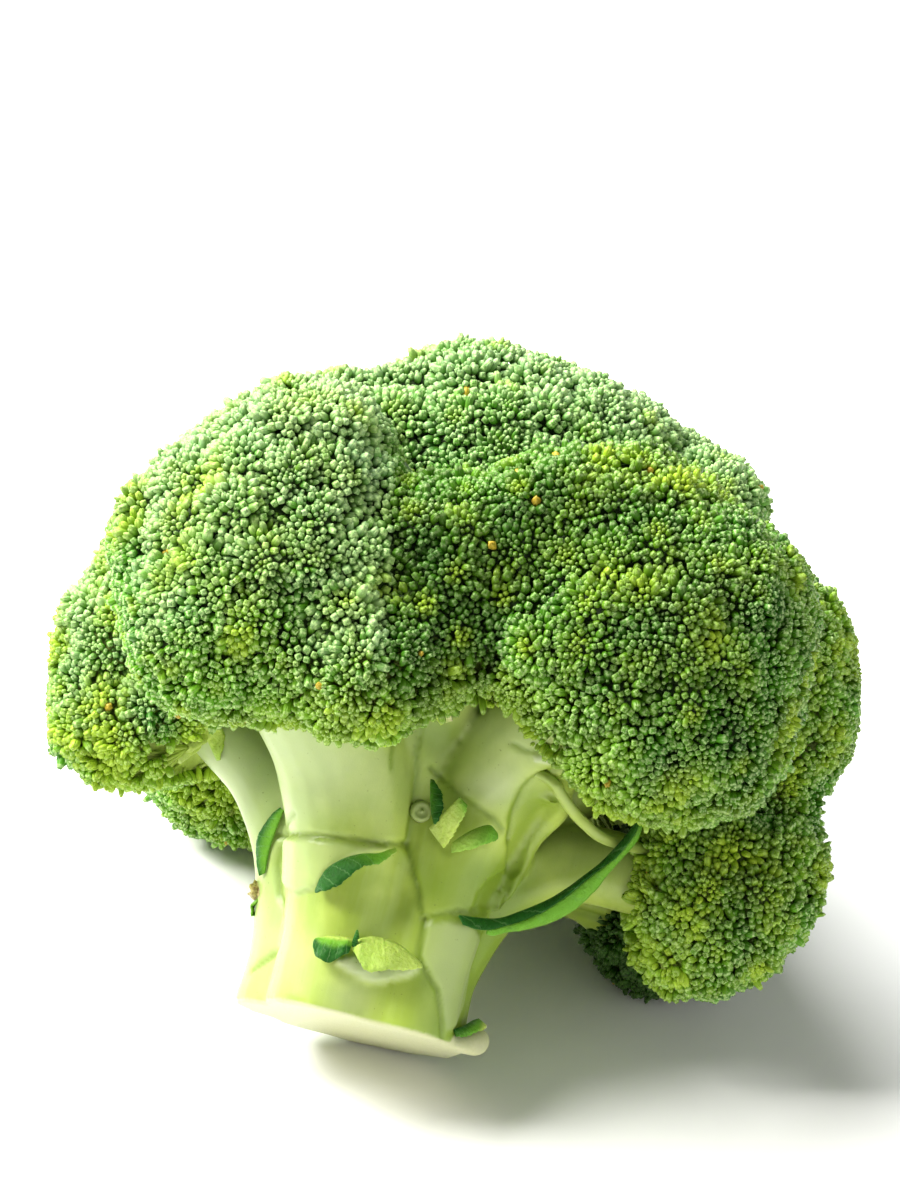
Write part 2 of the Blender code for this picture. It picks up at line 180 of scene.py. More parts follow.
# Stalk: azimuth and reach of a branch's foot, radius there, then the reach and height of its
# bend with the radius there, and the radius of its neck.
CUT_CENTRE = Vector((0, 0, -2.2)) * MM
CUT_SLANT = math.radians(6.5)
CUT_FACING = Vector((0, -math.sin(CUT_SLANT), -math.cos(CUT_SLANT)))
CORE_RADIUS = 20.0 * MM
CORE_HEIGHT = 58.0 * MM
BRANCHES = (
    ("front_left", -124, 14, 12.5, 20, 48, 14.5, 15.0),
    ("front_right", -52, 14, 10.5, 19.5, 50, 11.8, 12.5),
    ("left", 176, 15.5, 11.5, 28, 42, 9.0, 7.5),
    ("right_low", -6, 13, 9.0, 27, 38.5, 8.2, 7.8),
    ("right", 8, 12, 9.0, 24, 50, 8.5, 8.0),
    ("right_under", 30, 13, 9.0, 25, 36.5, 7.6, 7.2),
    ("left_back", 134, 14, 10.0, 28, 40, 9.0, 8.0),
    ("back", 92, 13, 9.5, 22, 38, 9.0, 8.5),
    ("back_left", 128, 12, 9.0, 22, 50, 9.0, 9.0),
    ("back_right", 52, 12, 9.0, 22, 50, 9.0, 9.0),
    ("front_middle", -88, 8, 8.0, 15, 58, 9.5, 9.5),
    ("left_upper", 172, 7, 8.0, 14, 60, 9.0, 9.0),
    ("right_upper", 12, 6, 8.0, 10, 66, 9.0, 9.0),
    ("top", 90, 2, 10.0, 2, 64, 11.0, 11.0),
    ("back_upper", 90, 7, 8.0, 12, 62, 9.0, 9.0),
)
NECK_SHARE = 0.62  # the neck is this share of a radius below the floret's centre
TIP_SHARE = 0.45  # and the branch's hidden tip this share
# Slim parts of the stalk as (azimuth, reach, height) points: the curled end of the cut, a thin
# web and a twig between two branches, and the torn foot of a leaf.
LIP = ((-36, 21.0, -1.0), (-21, 22.6, 0.2), (-10, 23.8, 1.5), (-1, 23.6, 2.0))
LIP_RADII = (1.8, 2.6, 2.9, 2.2)
WEB = ((-44, 37, 53), (-33, 33.5, 50.5), (-28, 28, 43), (-27, 26.5, 36), (-32, 24.5, 28))
WEB_RADII = (3.2, 3.0, 2.2, 1.7, 1.5)
TWIG = (
    (-53, 38, 55.5), (-50, 40.8, 54.4), (-46.5, 41.0, 52.6), (-41.5, 41.0, 50.5),
    (-33, 40.7, 48.5), (-26, 42.5, 46.8), (-20, 45.0, 46.6), (-13, 50.0, 46.8),
)
TWIG_RADIUS = 1.15 * MM
STUB = ((-176, 24.0, 20.0), (-176, 26.5, 20.4), (-177, 28.2, 21.0))
STUB_RADIUS = 1.5 * MM
TWIG_LUMPS = 1.1 * MM  # size of the lumps on the twig and the stub
STALK_VOXEL = 0.80 * MM
STALK_SMOOTHING = 8

# The stalk's skin. Lines where leaf bases wrapped it: depth and half-width in millimetres, then
# (azimuth, height) points.
CREASES = (
    (0.6, 0.6, ((-164, 32.6), (-139, 32.8), (-125, 33.6), (-116, 34.1), (-108, 34.5), (-94, 35.6),
     (-87, 36.6))),
    (0.7, 0.7, ((-95, 60), (-94, 54.4), (-92, 51), (-90, 46.2), (-88, 40.2), (-87, 36.2))),
    (0.6, 0.6, ((-87, 36.2), (-83, 33.5), (-80, 30.7), (-76, 28), (-74, 25.2), (-70, 22.5))),
    (0.5, 0.6, ((-70, 22.5), (-69, 17.5), (-68, 15), (-64, 12.9), (-59, 10.9), (-55, 9.7), (-50, 5),
     (-45, 0))),
    (0.5, 0.6, ((-70, 22.8), (-64, 24.2), (-55, 25.8), (-46, 26.8))),
    (0.5, 0.7, ((-138, 36.8), (-151, 33.8), (-162, 29.8), (-163, 26.8), (-160, 21), (-150, 16.2),
     (-146, 11.3), (-157, 8.8), (-168, 5))),
    (0.6, 0.6, ((-85, 52), (-78, 50.6), (-72, 48.4), (-62, 46.2), (-56, 44.9), (-50, 43.4))),
    (0.3, 0.5, ((-62.5, 59.8), (-60, 59.1), (-58, 59.3), (-55.5, 59.7), (-53, 59.9))),
    (0.2, 0.35, ((-103, 55), (-103, 52.5), (-102, 49.6))),
    (0.7, 0.7, ((-51, 57.5), (-53, 55.6), (-54, 53.9), (-54, 51.9), (-52, 49.4), (-50, 46.2),
     (-43, 41.7))),
    (0.4, 0.6, ((-43, 41.7), (-37, 39), (-33, 37), (-31, 33), (-30, 29))),
)
# Raised or sunk panels: rise in millimetres, how olive and how pale, then their outline.
PANELS = (
    (1.1, 0.0, 0.35, ((-148, 32.2), (-158, 28), (-157, 24.4), (-141, 22.4), (-133, 21.8),
     (-121, 24.0), (-119, 27.4), (-113, 30.6), (-108, 32.0), (-97, 34.2), (-95, 35.1), (-108, 34.0),
     (-125, 33.1))),
    (-0.3, 0.30, 0.0, ((-84, 50.6), (-71, 47.6), (-62, 45.4), (-51, 42.8), (-52, 39.6), (-60, 38.6),
     (-68, 36), (-78, 39))),
    (0.35, 0.0, 0.40, ((-68, 21.6), (-61, 23.2), (-47, 24.0), (-31, 21.5), (-24, 18.3), (-22, 13),
     (-21, 8), (-26, 4), (-44, 2.2), (-50, 6.6), (-56, 10.6), (-66, 14))),
    (1.4, 0.0, 0.8, ((-109, 10.4), (-103, 9.4), (-95, 8.3), (-90, 8.0), (-82, 8.6), (-70, 11.0),
     (-66, 13), (-68, 14.2), (-76, 13.2), (-86, 11.2), (-93, 11.4), (-100, 12.8))),
    (0.5, 0.0, 1.0, ((-57.8, 58.2), (-56.5, 59.0), (-54.2, 59.2), (-52.8, 58.5), (-54, 57.5),
     (-56.5, 57.4))),
    (-0.9, 0.30, 0.0, ((-53, 56), (-54, 53.5), (-53, 50.5), (-51, 47.5), (-45, 42.5), (-36, 38.5),
     (-31, 35), (-29.5, 36.5), (-30.5, 40), (-33, 44.5), (-34.5, 47), (-39, 49.8), (-41, 51.6),
     (-47, 53.2))),
    # a pocket between the trunk and the right branch, sunk and painted olive-dark as shade
    (-0.5, 0.65, 0.0, ((-48, 26.8), (-48, 30), (-44, 33.5), (-35, 36.0), (-30, 33.0), (-28, 29),
     (-34, 27.6))),
)
# Soft places: azimuth, height and size, then rise and how olive and how pale. Some are painted light,
# as marked.
PLACES = (
    # a painted highlight on the trunk's lit left edge
    (-142, 37, 3.5, 0.3, 0.0, 0.9),
    (-128, 52, 11.0, 0.2, 0.0, 0.6),
    (-112, 46, 8.0, 0.3, 0.0, 0.25),
    # painted light: the left branch paler where the left floret shades it
    (176, 48, 13.0, 0.0, 0.0, 1.2),
    (-163, 13, 8.0, 0.2, 0.0, 0.35),
    (-130, 9, 8.0, 0.2, 0.0, 0.3),
    (-100, 4, 5.0, 0.0, 0.0, 0.4),
    (-61, 51, 4.5, 0.4, 0.0, 0.65),
    # painted light: paler where the crown shades the branch below it
    (-67, 62, 8.0, 0.0, 0.0, 0.5),
    # painted shade in the pocket under the crown between the front branches
    (-90, 60, 5.0, -0.6, 0.9, 0.0),
    (-82, 57, 5.0, -0.4, 0.7, 0.0),
    # painted shade under the front leaf
    (-112, 21, 3.5, -0.2, 0.25, 0.0),
    (-84, 20, 5.0, 0.0, 0.30, 0.0),
    (-45, 48, 5.0, 0.0, 0.4, 0.0),
    # the right branch: a little olive, and painted light where the crown shades it
    (-14, 50, 8.0, 0.0, 0.25, 0.2),
    (-12, 44, 6.0, 0.0, 0.05, 0.2),
    (-84, 6, 6.0, 0.0, 0.15, 0.0),
)
BUD_SCAR = (-84, 19.6, 43.4)  # azimuth, reach and height of a round scar with a raised rim
BUD_SCAR_RADIUS = 1.8 * MM

# Leaves and scraps of leaves on the stalk. Each blade: how far its middle bulges and how deep its
# teeth are (mm), its shade (0 dark green, 0.5 bright green, 1 pale lime) at the start and end of
# one edge and of the other, then (azimuth, reach, height) points along both edges.
LONG_FOLD = (  # where the two blades of the long leaf meet
    (-36, 27.7, 24.6), (-28.5, 30.6, 27.0), (-26.5, 34.4, 30.2), (-25.5, 38.6, 34.6),
    (-25.4, 42.0, 38.7), (-25.2, 44.8, 41.8), (-25.0, 47.2, 45.0), (-24.8, 49.2, 49.7),
    (-24.0, 48.6, 52.8),
)
LEAVES = {
    "leaf_long": (
        (0.3, 0.15, (0.0, 0.1, 0.0, 0.2),
         ((-57, 26.0, 24.9), (-46, 26.4, 25.4), (-34, 26.9, 26.4), (-27.6, 29.6, 28.9),
          (-24.5, 33.7, 32.1), (-23.7, 36.8, 35.0), (-23.5, 39.5, 37.9), (-23.7, 43.0, 41.8),
          (-23.6, 46.0, 46.6), (-23.5, 48.0, 50.5), (-23.7, 48.3, 53.0)),
         ((-55, 27.0, 23.4), (-47, 27.4, 23.2), *LONG_FOLD)),
        (0.5, 0.2, (0.4, 0.45, 0.6, 0.5),
         ((-42, 27.6, 23.6), *LONG_FOLD),
         ((-41, 26.8, 22.9), (-36, 26.6, 23.2), (-30.5, 28.4, 24.4), (-25.0, 32.0, 26.2),
          (-22.3, 37.5, 30.2), (-22.5, 41.8, 35.4), (-22.9, 43.9, 38.6), (-22.9, 45.6, 42.0),
          (-22.8, 48.5, 47.4), (-23.1, 49.3, 52.4))),
    ),
    "leaf_front": (
        (0.7, 0.35, (0.0, 0.9, -0.1, 0.8),
         ((-121, 27.9, 23.6), (-118, 28.6, 27.2), (-112, 28.7, 30.0), (-105, 28.1, 31.9),
          (-98, 27.0, 32.8), (-92.5, 25.4, 34.8)),
         ((-120, 28.7, 22.6), (-112, 30.4, 24.3), (-106, 30.6, 27.8), (-101, 29.8, 30.2),
          (-96, 28.6, 31.8), (-91.5, 26.0, 34.0))),
    ),
    "leaf_low": (
        (1.0, 0.05, (1.05, 1.0, -0.5, -0.4),
         ((-117.2, 26.2, 13.6), (-112, 26.0, 14.8), (-106, 25.8, 15.3), (-101, 25.6, 15.3)),
         ((-117.2, 26.6, 13.0), (-114.5, 27.8, 10.8), (-108.5, 28.6, 9.9), (-100.8, 27.4, 12.3))),
        (0.8, 0.25, (0.85, 1.0, 0.75, 1.0),
         ((-100, 25.2, 15.4), (-92, 24.2, 16.8), (-80, 23.4, 16.4), (-67, 23.4, 13.8)),
         ((-100, 26.2, 13.4), (-91.5, 27.2, 10.3), (-79, 25.9, 11.9), (-67, 23.9, 13.0))),
        (0.2, 0.2, (0.0, 0.2, 0.0, 0.2),
         ((-101, 26.0, 14.2), (-100.4, 26.6, 15.8), (-99.8, 26.8, 17.4)),
         ((-99.5, 26.0, 14.0), (-99.0, 26.6, 15.4), (-99.3, 26.8, 17.2))),
        (0.3, 0.3, (0.05, 0.2, 0.3, 1.4),
         ((-34, 22.2, 2.8), (-27, 22.6, 3.8), (-17, 22.6, 5.2), (-8, 23.0, 6.0)),
         ((-33, 22.8, 1.6), (-26, 23.8, 2.6), (-16, 24.6, 4.2), (-7, 24.8, 5.0))),
    ),
    "leaf_forked": (
        (0.5, 0.2, (0.35, 0.1, 0.1, 0.05),
         ((-83.6, 23.2, 49.8), (-82.2, 24.4, 46.6), (-80.3, 25.4, 43.4), (-78.2, 26.2, 41.2)),
         ((-82.4, 23.6, 49.6), (-78.6, 25.6, 47.4), (-77.2, 26.8, 45.2), (-77.0, 27.0, 42.0))),
        (0.3, 0.3, (1.05, 0.7, 1.0, 0.5),
         ((-79.0, 23.6, 40.4), (-77.0, 27.0, 42.6), (-74.6, 29.4, 45.4), (-73.0, 30.4, 47.4)),
         ((-71.0, 25.4, 37.2), (-71.2, 28.8, 40.4), (-70.4, 30.6, 43.6), (-69.8, 31.2, 46.2))),
        (0.7, 0.2, (0.8, 0.35, 0.7, 0.3),
         ((-69.0, 27.0, 38.4), (-64.4, 29.2, 41.4), (-58.6, 30.4, 43.4), (-54.2, 30.0, 42.2)),
         ((-68.2, 27.0, 36.6), (-62.8, 30.4, 38.6), (-58.4, 31.2, 40.2), (-54.0, 30.4, 41.4))),
        (0.4, 0.1, (1.0, 1.0, 1.15, 1.15),
         ((-93.0, 30.5, 64.6), (-90, 28.5, 62.0), (-86, 26.6, 60.6)),
         ((-88.0, 31.5, 65.4), (-84.5, 29.0, 63.6), (-81.5, 27.2, 61.8))),
    ),
    "leaf_left": (
        (0.6, 0.2, (1.05, 0.7, 0.9, 0.8),
         ((-178, 48.6, 51.0), (-177, 48.0, 49.2), (-175.5, 45.0, 48.6), (-175, 43.6, 47.6),
          (-175.4, 41.2, 44.6)),
         ((-174, 47.0, 53.2), (-173, 45.4, 52.6), (-172.5, 43.0, 52.0), (-173.4, 41.2, 49.4),
          (-174.6, 40.6, 44.8))),
        (0.4, 0.1, (0.6, 0.5, 0.0, 0.05),
         ((-160, 26.8, 37.6), (-163, 27.0, 33.4), (-166, 27.0, 29.0), (-168, 26.6, 24.6)),
         ((-162, 27.2, 38.0), (-167, 28.9, 34.4), (-170, 29.4, 29.4), (-169.6, 27.4, 23.8))),
        (0.3, 0.2, (0.5, 0.4, 0.6, 0.5),
         ((-177, 25.8, 19.6), (-179, 26.8, 17.8), (180, 26.4, 15.8)),
         ((-174, 26.0, 19.0), (-176, 27.2, 17.6), (-178, 26.6, 15.6))),
    ),
}
LEAF_ROWS = 40
LEAF_COLUMNS = 9
LEAF_THICKNESS = 0.45 * MM

# Camera: it stands a little above the head and looks down on it with a long lens.
CAMERA_AT = Vector((-0.87, -712.69, 546.93)) * MM
CAMERA_DOWN = math.radians(33.0)
LENS = 124.4
SENSOR = 36.0

# Lamps, which all face the head: name, place, size, power and colour.
LAMPS = (
    ("key", (-0.95, 0.08, 1.15), 0.75, 57.0, (1.0, 0.99, 0.95)),
    ("fill", (0.90, -0.85, 0.35), 1.2, 6.5, (1.0, 1.0, 0.92)),
    ("back", (-0.3, 0.8, 1.2), 0.8, 30.0, (1.0, 1.0, 1.0)),
)
LAMPS_FACE = Vector((0, 0, 0.07))
SKY_STRENGTH = 0.28
FLOOR_SIZE = 12.0


def polar(azimuth, reach, height):
    """A point in the head's frame from degrees and millimetres."""
    turn = math.radians(azimuth)
    return Vector((reach * math.cos(turn), reach * math.sin(turn), height)) * MM


def unit(vectors):
    """The vectors with their lengths made one."""
    return vectors / np.linalg.norm(vectors, axis=-1, keepdims=True)


def smooth_step(low, high, values):
    """Runs smoothly from 0 to 1 as the values go from low to high."""
    share = np.clip((values - low) / (high - low), 0, 1)
    return share * share * (3 - 2 * share)


NAMES = [row[0] for row in FLORETS]
CENTRES = np.array([polar(*row[1:4]) for row in FLORETS])
RADII = np.array([row[4] for row in FLORETS]) * MM
YELLOW = np.array([row[5] for row in FLORETS])
PAINTED_SHADE_AND_SHEEN = np.array([row[6] for row in FLORETS])
BARE = np.radians([row[7] for row in FLORETS])
GROWTH = unit(CENTRES - CROTCH)
BALL_CENTRES = np.vstack([CENTRES, [polar(*row[:3]) for row in SWELLINGS]])
BALL_RADII = np.append(RADII, np.array([row[3] for row in SWELLINGS]) * MM)


# Meshes


def noise_at(points, size):
    """Smooth noise at each point, in lumps of this size."""
    return np.array([noise.noise(Vector(point) / size) for point in points])


def ring_turns(sides):
    """The turn of each corner of a ring."""
    return np.arange(sides) * 2 * math.pi / sides


def golden_turn(k):
    """The turn of the k-th point of a golden-angle spiral."""
    return k * math.pi * (3 - math.sqrt(5))


def in_world(points):
    """Points of the head's frame in the row's frame."""
    return points @ HEAD_TURN.T + np.array(HEAD_AT)


def add_object(name, data):
    obj = bpy.data.objects.new(name, data)
    bpy.context.scene.collection.objects.link(obj)
    return obj


def add_piece(name, heap, slot, replaced, *materials):
    """The heap as a finer piece in the place of a solid."""
    mesh = heap.mesh(name)
    piece = add_object(name, mesh)
    for material in materials:
        mesh.materials.append(material)
    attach(piece, "root")
    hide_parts(replaced)
    return piece


class Heap:
    """Small bodies gathered into one mesh."""

    def __init__(self):
        self.points, self.triangles, self.slots, self.local, self.tone = [], [], [], [], []
        self.count = 0

    def add(self, points, triangles, slot, local, tone):
        """Adds bodies: points (bodies, corners, 3), triangles of one body, and the layers.

        A point's place in its body goes into local, and what its colour follows into tone.
        """
        bodies, corners = points.shape[:2]
        starts = self.count + np.arange(bodies) * corners
        self.points.append(points.reshape(-1, 3))
        faces = (triangles[None] + starts[:, None, None]).reshape(-1, 3)
        self.triangles.append(faces)
        self.slots.append(np.full(len(faces), slot))
        self.local.append(np.broadcast_to(local, points.shape).reshape(-1, 3))
        self.tone.append(np.broadcast_to(tone, points.shape).reshape(-1, 3))
        self.count += bodies * corners

    def mesh(self, name):
        """The bodies as one smooth mesh, with a vector for each point in each layer."""
        points = in_world(np.concatenate(self.points))
        points[:, 2] = np.maximum(points[:, 2], FLOOR_GAP)
        triangles = np.concatenate(self.triangles)
        slots = np.concatenate(self.slots)
        mesh = bpy.data.meshes.new(name)
        mesh.vertices.add(len(points))
        mesh.vertices.foreach_set("co", points.astype(np.float32).ravel())
        mesh.loops.add(triangles.size)
        mesh.loops.foreach_set("vertex_index", triangles.astype(np.int32).ravel())
        mesh.polygons.add(len(triangles))
        starts = np.arange(0, triangles.size, 3, dtype=np.int32)
        mesh.polygons.foreach_set("loop_start", starts)
        mesh.polygons.foreach_set("material_index", slots.astype(np.int32))
        mesh.update(calc_edges=True)
        mesh.shade_smooth()
        for key, parts in (("local", self.local), ("tone", self.tone)):
            layer = mesh.attributes.new(key, "FLOAT_VECTOR", "POINT")
            layer.data.foreach_set("vector", np.concatenate(parts).astype(np.float32).ravel())
        return mesh


def lathe(rings, sides):
    """Triangles of a closed body: a bottom point, rings of this many sides, a top point."""
    corner = np.arange(sides)
    after = (corner + 1) % sides
    top = 1 + rings * sides
    faces = [np.stack([np.zeros(sides, int), 1 + after, 1 + corner], 1)]
    for ring in range(rings - 1):
        low = 1 + ring * sides
        high = low + sides
        faces.append(np.stack([low + corner, low + after, high + after], 1))
        faces.append(np.stack([low + corner, high + after, high + corner], 1))
    last = top - sides
    faces.append(np.stack([last + corner, last + after, np.full(sides, top)], 1))
    return np.concatenate(faces)


def bud_form(profile, sides, lobing):
    """A bud of unit radius and height: (height, radius) rings, with sepals meeting at the top."""
    turns = ring_turns(sides)
    lobes = 1 - lobing * np.cos(4 * turns)
    points = [(0, 0, 0)]
    for height, radius in profile:
        rings = np.stack([radius * lobes * np.cos(turns), radius * lobes * np.sin(turns)], 1)
        drop = lobing * 0.6 * height**3 * np.cos(4 * turns)
        points += [(x, y, height - d) for (x, y), d in zip(rings, drop)]
    points.append((0, 0, 0.985))
    return np.array(points), lathe(len(profile), sides)


PLUMP = bud_form(((0.04, 0.4), (0.3, 0.82), (0.6, 1.0), (0.83, 0.8), (0.96, 0.4)), 8, 0.08)
YOUNG = bud_form(((0.1, 0.7), (0.5, 1.0), (0.86, 0.6)), 6, 0.0)
SCAR_RINGS = ((0.0, 1.3), (0.35, 1.2), (0.55, 1.0), (0.62, 0.85), (0.5, 0.68), (0.45, 0.4), (0.48, 0.2))
SCAR = bud_form(SCAR_RINGS, 24, 0.0)
BUD_SLOT, STEM_SLOT = 0, 1  # materials of a floret's piece, in their order


def frames_along(axes):
    """A turned set of axes for each unit vector, its third axis along the vector."""
    side = np.where(np.abs(axes[:, 2:]) < 0.9, [[0.0, 0, 1]], [[1.0, 0, 0]])
    first = unit(np.cross(side, axes))
    second = np.cross(axes, first)
    turn = rng.uniform(0, 2 * math.pi, len(axes))[:, None]
    x = first * np.cos(turn) + second * np.sin(turn)
    y = np.cross(axes, x)
    return np.stack([x, y, axes], 2)


def place_forms(heap, form, bases, axes, widths, heights, slot, tone):
    """Sets a copy of the form on each base, along its axis."""
    points, triangles = form
    scaled = points[None] * np.stack([widths / 2, widths / 2, heights], 1)[:, None, :]
    placed = scaled @ frames_along(axes).transpose(0, 2, 1) + bases[:, None, :]
    heap.add(placed, triangles, slot, points[None], tone[:, None, :])


def place_stems(heap, starts, ends, radii, sides, tone):
    """Tapered stems from starts to ends."""
    axes = frames_along(unit(ends - starts))
    turns = ring_turns(sides)
    ring = np.stack([np.cos(turns), np.sin(turns), np.zeros(sides)], 1)
    rows = [starts[:, None, :]]
    for share in STEM_RINGS:
        middle = starts + (ends - starts) * share
        radius = radii[0] + (radii[1] - radii[0]) * share
        rows.append(middle[:, None, :] + (ring * radius) @ axes.transpose(0, 2, 1))
    rows.append(ends[:, None, :])
    points = np.concatenate(rows, axis=1)
    heap.add(points, lathe(len(STEM_RINGS), sides), STEM_SLOT, (0, 0, 0), tone)


# The crown's form


def crown(points):
    """How far points lie outside the crown, negative inside, and the way out at each."""
    offsets = points[:, None, :] - BALL_CENTRES
    lengths = np.linalg.norm(offsets, axis=2)
    shares = np.exp(-(lengths - BALL_RADII) / BLEND)
    outward = ((shares / lengths)[:, :, None] * offsets).sum(axis=1)
    return -BLEND * np.log(shares.sum(axis=1)), unit(outward)


def on_crown(points):
    """The points moved onto the crown, and the way out at each."""
    for _ in range(4):
        depth, outward = crown(points)
        points = points - outward * depth[:, None]
    return points, crown(points)[1]


def owner(points):
    """The floret that each point belongs to: the one whose plane it is behind."""
    apart = np.linalg.norm(points[:, None, :] - CENTRES, axis=2)
    return (apart**2 - RADII**2).argmin(axis=1)


def branch_angle(points, florets):
    """The angle at each point's floret between the point and the branch below."""
    ways = unit(points - CENTRES[florets])
    return np.arccos(np.clip(-(ways * GROWTH[florets]).sum(axis=1), -1, 1))


def spiral_ways(count):
    """Unit vectors in a golden-angle spiral about +Z."""
    k = np.arange(count)
    up = 1 - 2 * (k + 0.5) / count
    out = np.sqrt(1 - up * up)
    turn = golden_turn(k)
    return np.stack([out * np.cos(turn), out * np.sin(turn), up], 1)


def count_for(pitch, radius):
    """How many points this far apart a sphere of this radius holds."""
    return round(4 * math.pi * radius**2 / (math.sqrt(3) / 2 * pitch**2))


def tree_of(points):
    """A tree that finds the points near a place."""
    tree = KDTree(len(points))
    for k, point in enumerate(points):
        tree.insert(point, k)
    tree.balance()
    return tree


def spaced_out(points, spacings):
    """Which points stay when, in a shuffled order, each removes later ones too near it."""
    tree = tree_of(points)
    blocked = np.zeros(len(points), bool)
    kept = np.zeros(len(points), bool)
    for k in rng.permutation(len(points)):
        if blocked[k]:
            continue
        kept[k] = True
        for _, other, apart in tree.find_range(points[k], spacings[k]):
            if not kept[other] and apart < (spacings[k] + spacings[other]) / 2:
                blocked[other] = True
    return kept


def bare_angle(florets, ways):
    """How far from its branch a floret has no buds; where it faces up or back, they close in."""
    away = np.maximum(ways @ UP, ways[:, 1])
    return BARE[florets] * (1 - smooth_step(0.0, 0.3, away))


def cluster_middles():
    """Middles of the bud clusters, about evenly spaced, and the way out at each."""
    points, outward = crown_points(MIDDLE_PITCH)
    florets = owner(points)
    seen = branch_angle(points, florets) > bare_angle(florets, outward)
    points, outward = points[seen], outward[seen]
    kept = spaced_out(points, rng.uniform(0.85, 1.3, len(points)) * CLUSTER_SPACING)
    return points[kept], outward[kept]


def cluster_spiral():
    """How far out and how far round a cluster's middle each bud stands, and its width."""
    rows = []
    area = 0.0
    while (reach := math.sqrt(area / math.pi)) < CLUSTER_MOST:
        share = min(reach / FULL_WIDTH_FROM, 1)
        width = BUD_WIDTHS[0] + (BUD_WIDTHS[1] - BUD_WIDTHS[0]) * share
        rows.append((reach, golden_turn(len(rows)), width))
        area += BUD_CROWDING * width**2
    return np.array(rows)


def crown_points(pitch):
    """Points about this far apart all over the crown, and the way out at each."""
    found = []
    for centre, radius in zip(BALL_CENTRES, BALL_RADII):
        points = centre + radius * spiral_ways(count_for(pitch, radius))
        found.append(points[crown(points)[0] > -CREVICE_DEPTH])
    return on_crown(np.concatenate(found))


def gap_buds(places, clusters, spacing, least, most):
    """Lower buds in the gaps that the buds at these places leave."""
    points, ways = crown_points(GAP_PITCH)
    tree = tree_of(places)
    free = np.array([tree.find(point)[2] for point in points]) > spacing
    florets = owner(points)
    free &= branch_angle(points, florets) > bare_angle(florets, ways) + 0.1
    points, ways = points[free], ways[free]
    kept = spaced_out(points, np.full(len(points), spacing))
    points, ways = points[kept], ways[kept]
    widths = rng.uniform(least, most, len(points))
    nearest = [clusters.find(point)[1] for point in points]
    return np.column_stack([points, ways, widths, nearest, np.ones(len(points))])


def clustered_buds(middles, outward, clusters):
    """The buds of every cluster, each with the cluster whose middle is nearest to it."""
    spiral = cluster_spiral()
    found = []
    for k, (middle, way) in enumerate(zip(middles, outward)):
        scale = rng.uniform(*CLUSTER_SIZES)
        axes = frames_along(way[None])[0]
        reach, turn, width = spiral.T * [[scale], [1], [scale]]
        reach = reach + rng.normal(0, 0.09, len(reach)) * width
        turn = turn + rng.normal(0, 0.05, len(reach))
        flat = np.outer(reach * np.cos(turn), axes[:, 0]) + np.outer(reach * np.sin(turn), axes[:, 1])
        points, ways = on_crown(middle + flat)
        mine = np.array([clusters.find(point)[1] == k for point in points])
        rest = np.tile([k, 0], (len(points), 1))
        found.append(np.column_stack([points, ways, width, rest])[mine])
    return np.concatenate(found)


def scatter_buds():
    """Every bud's row, its floret and its angle from the branch, and the clusters' middles.

    A row is the bud's place on the crown, the way out there, its width, its cluster and whether
    it fills a gap.
    """
    middles, outward = cluster_middles()
    clusters = tree_of(middles)
    rows = clustered_buds(middles, outward, clusters)
    belongs = owner(rows[:, :3])
    angle = branch_angle(rows[:, :3], belongs)
    kept = spaced_out(rows[:, :3], BUD_APART * rows[:, 6])
    ragged = rng.uniform(*RAGGED_RIM, len(angle))
    rows = rows[kept & (angle > bare_angle(belongs, rows[:, 3:6]) + ragged)]
    for gap in GAPS:
        rows = np.vstack([rows, gap_buds(rows[:, :3], clusters, *gap)])
    belongs = owner(rows[:, :3])
    angle = branch_angle(rows[:, :3], belongs)
    low = 1 - smooth_step(bare_angle(belongs, rows[:, 3:6]) + 0.1, RIM + 0.1, angle)
    holes = noise_at(rows[:, :3], HOLE_SIZE)
    kept = holes < 0.95 - 0.75 * low * np.minimum(1, 0.3 + 2.0 * YELLOW[belongs])
    return rows[kept], belongs[kept], angle[kept], middles


def core_reaches(index, ways, angle):
    """How far a floret's core goes each way: to below the crown or to a neighbour's plane.

    The crown is looked for from outside inward, so that the core doesn't cross a crease.
    """
    centre, radius = CENTRES[index], RADII[index]
    step = 0.03 * radius
    far = np.full(len(ways), 1.5 * radius)
    for length in np.arange(1.5 * radius, 0.5 * radius, -step):
        outside = crown(centre + ways * length)[0] > 0
        far = np.where(outside, length, far)
    near = far - step
    for _ in range(8):
        middle = (near + far) / 2
        outside = crown(centre + ways * middle[:, None])[0] > 0
        far = np.where(outside, middle, far)
        near = np.where(outside, near, middle)
    reach = near - CORE_DEPTH * smooth_step(-0.9, RIM, angle)
    for other, (place, size) in enumerate(zip(CENTRES, RADII)):
        apart = place - centre
        length = np.linalg.norm(apart)
        if other == index or length > radius + size + 5 * BLEND:
            continue
        share = (length**2 + radius**2 - size**2) / (2 * length)
        toward = ways @ (apart / length)
        reach = np.where(toward > 0.01, np.minimum(reach, share / np.maximum(toward, 0.01)), reach)
    return reach


def ball_mesh(subdivisions):
    """Points on the unit sphere and their triangles."""
    bm = bmesh.new()
    bmesh.ops.create_icosphere(bm, subdivisions=subdivisions, radius=1)
    points = np.array([vertex.co for vertex in bm.verts])
    triangles = np.array([[vertex.index for vertex in face.verts] for face in bm.faces])
    bm.free()
    return unit(points), triangles


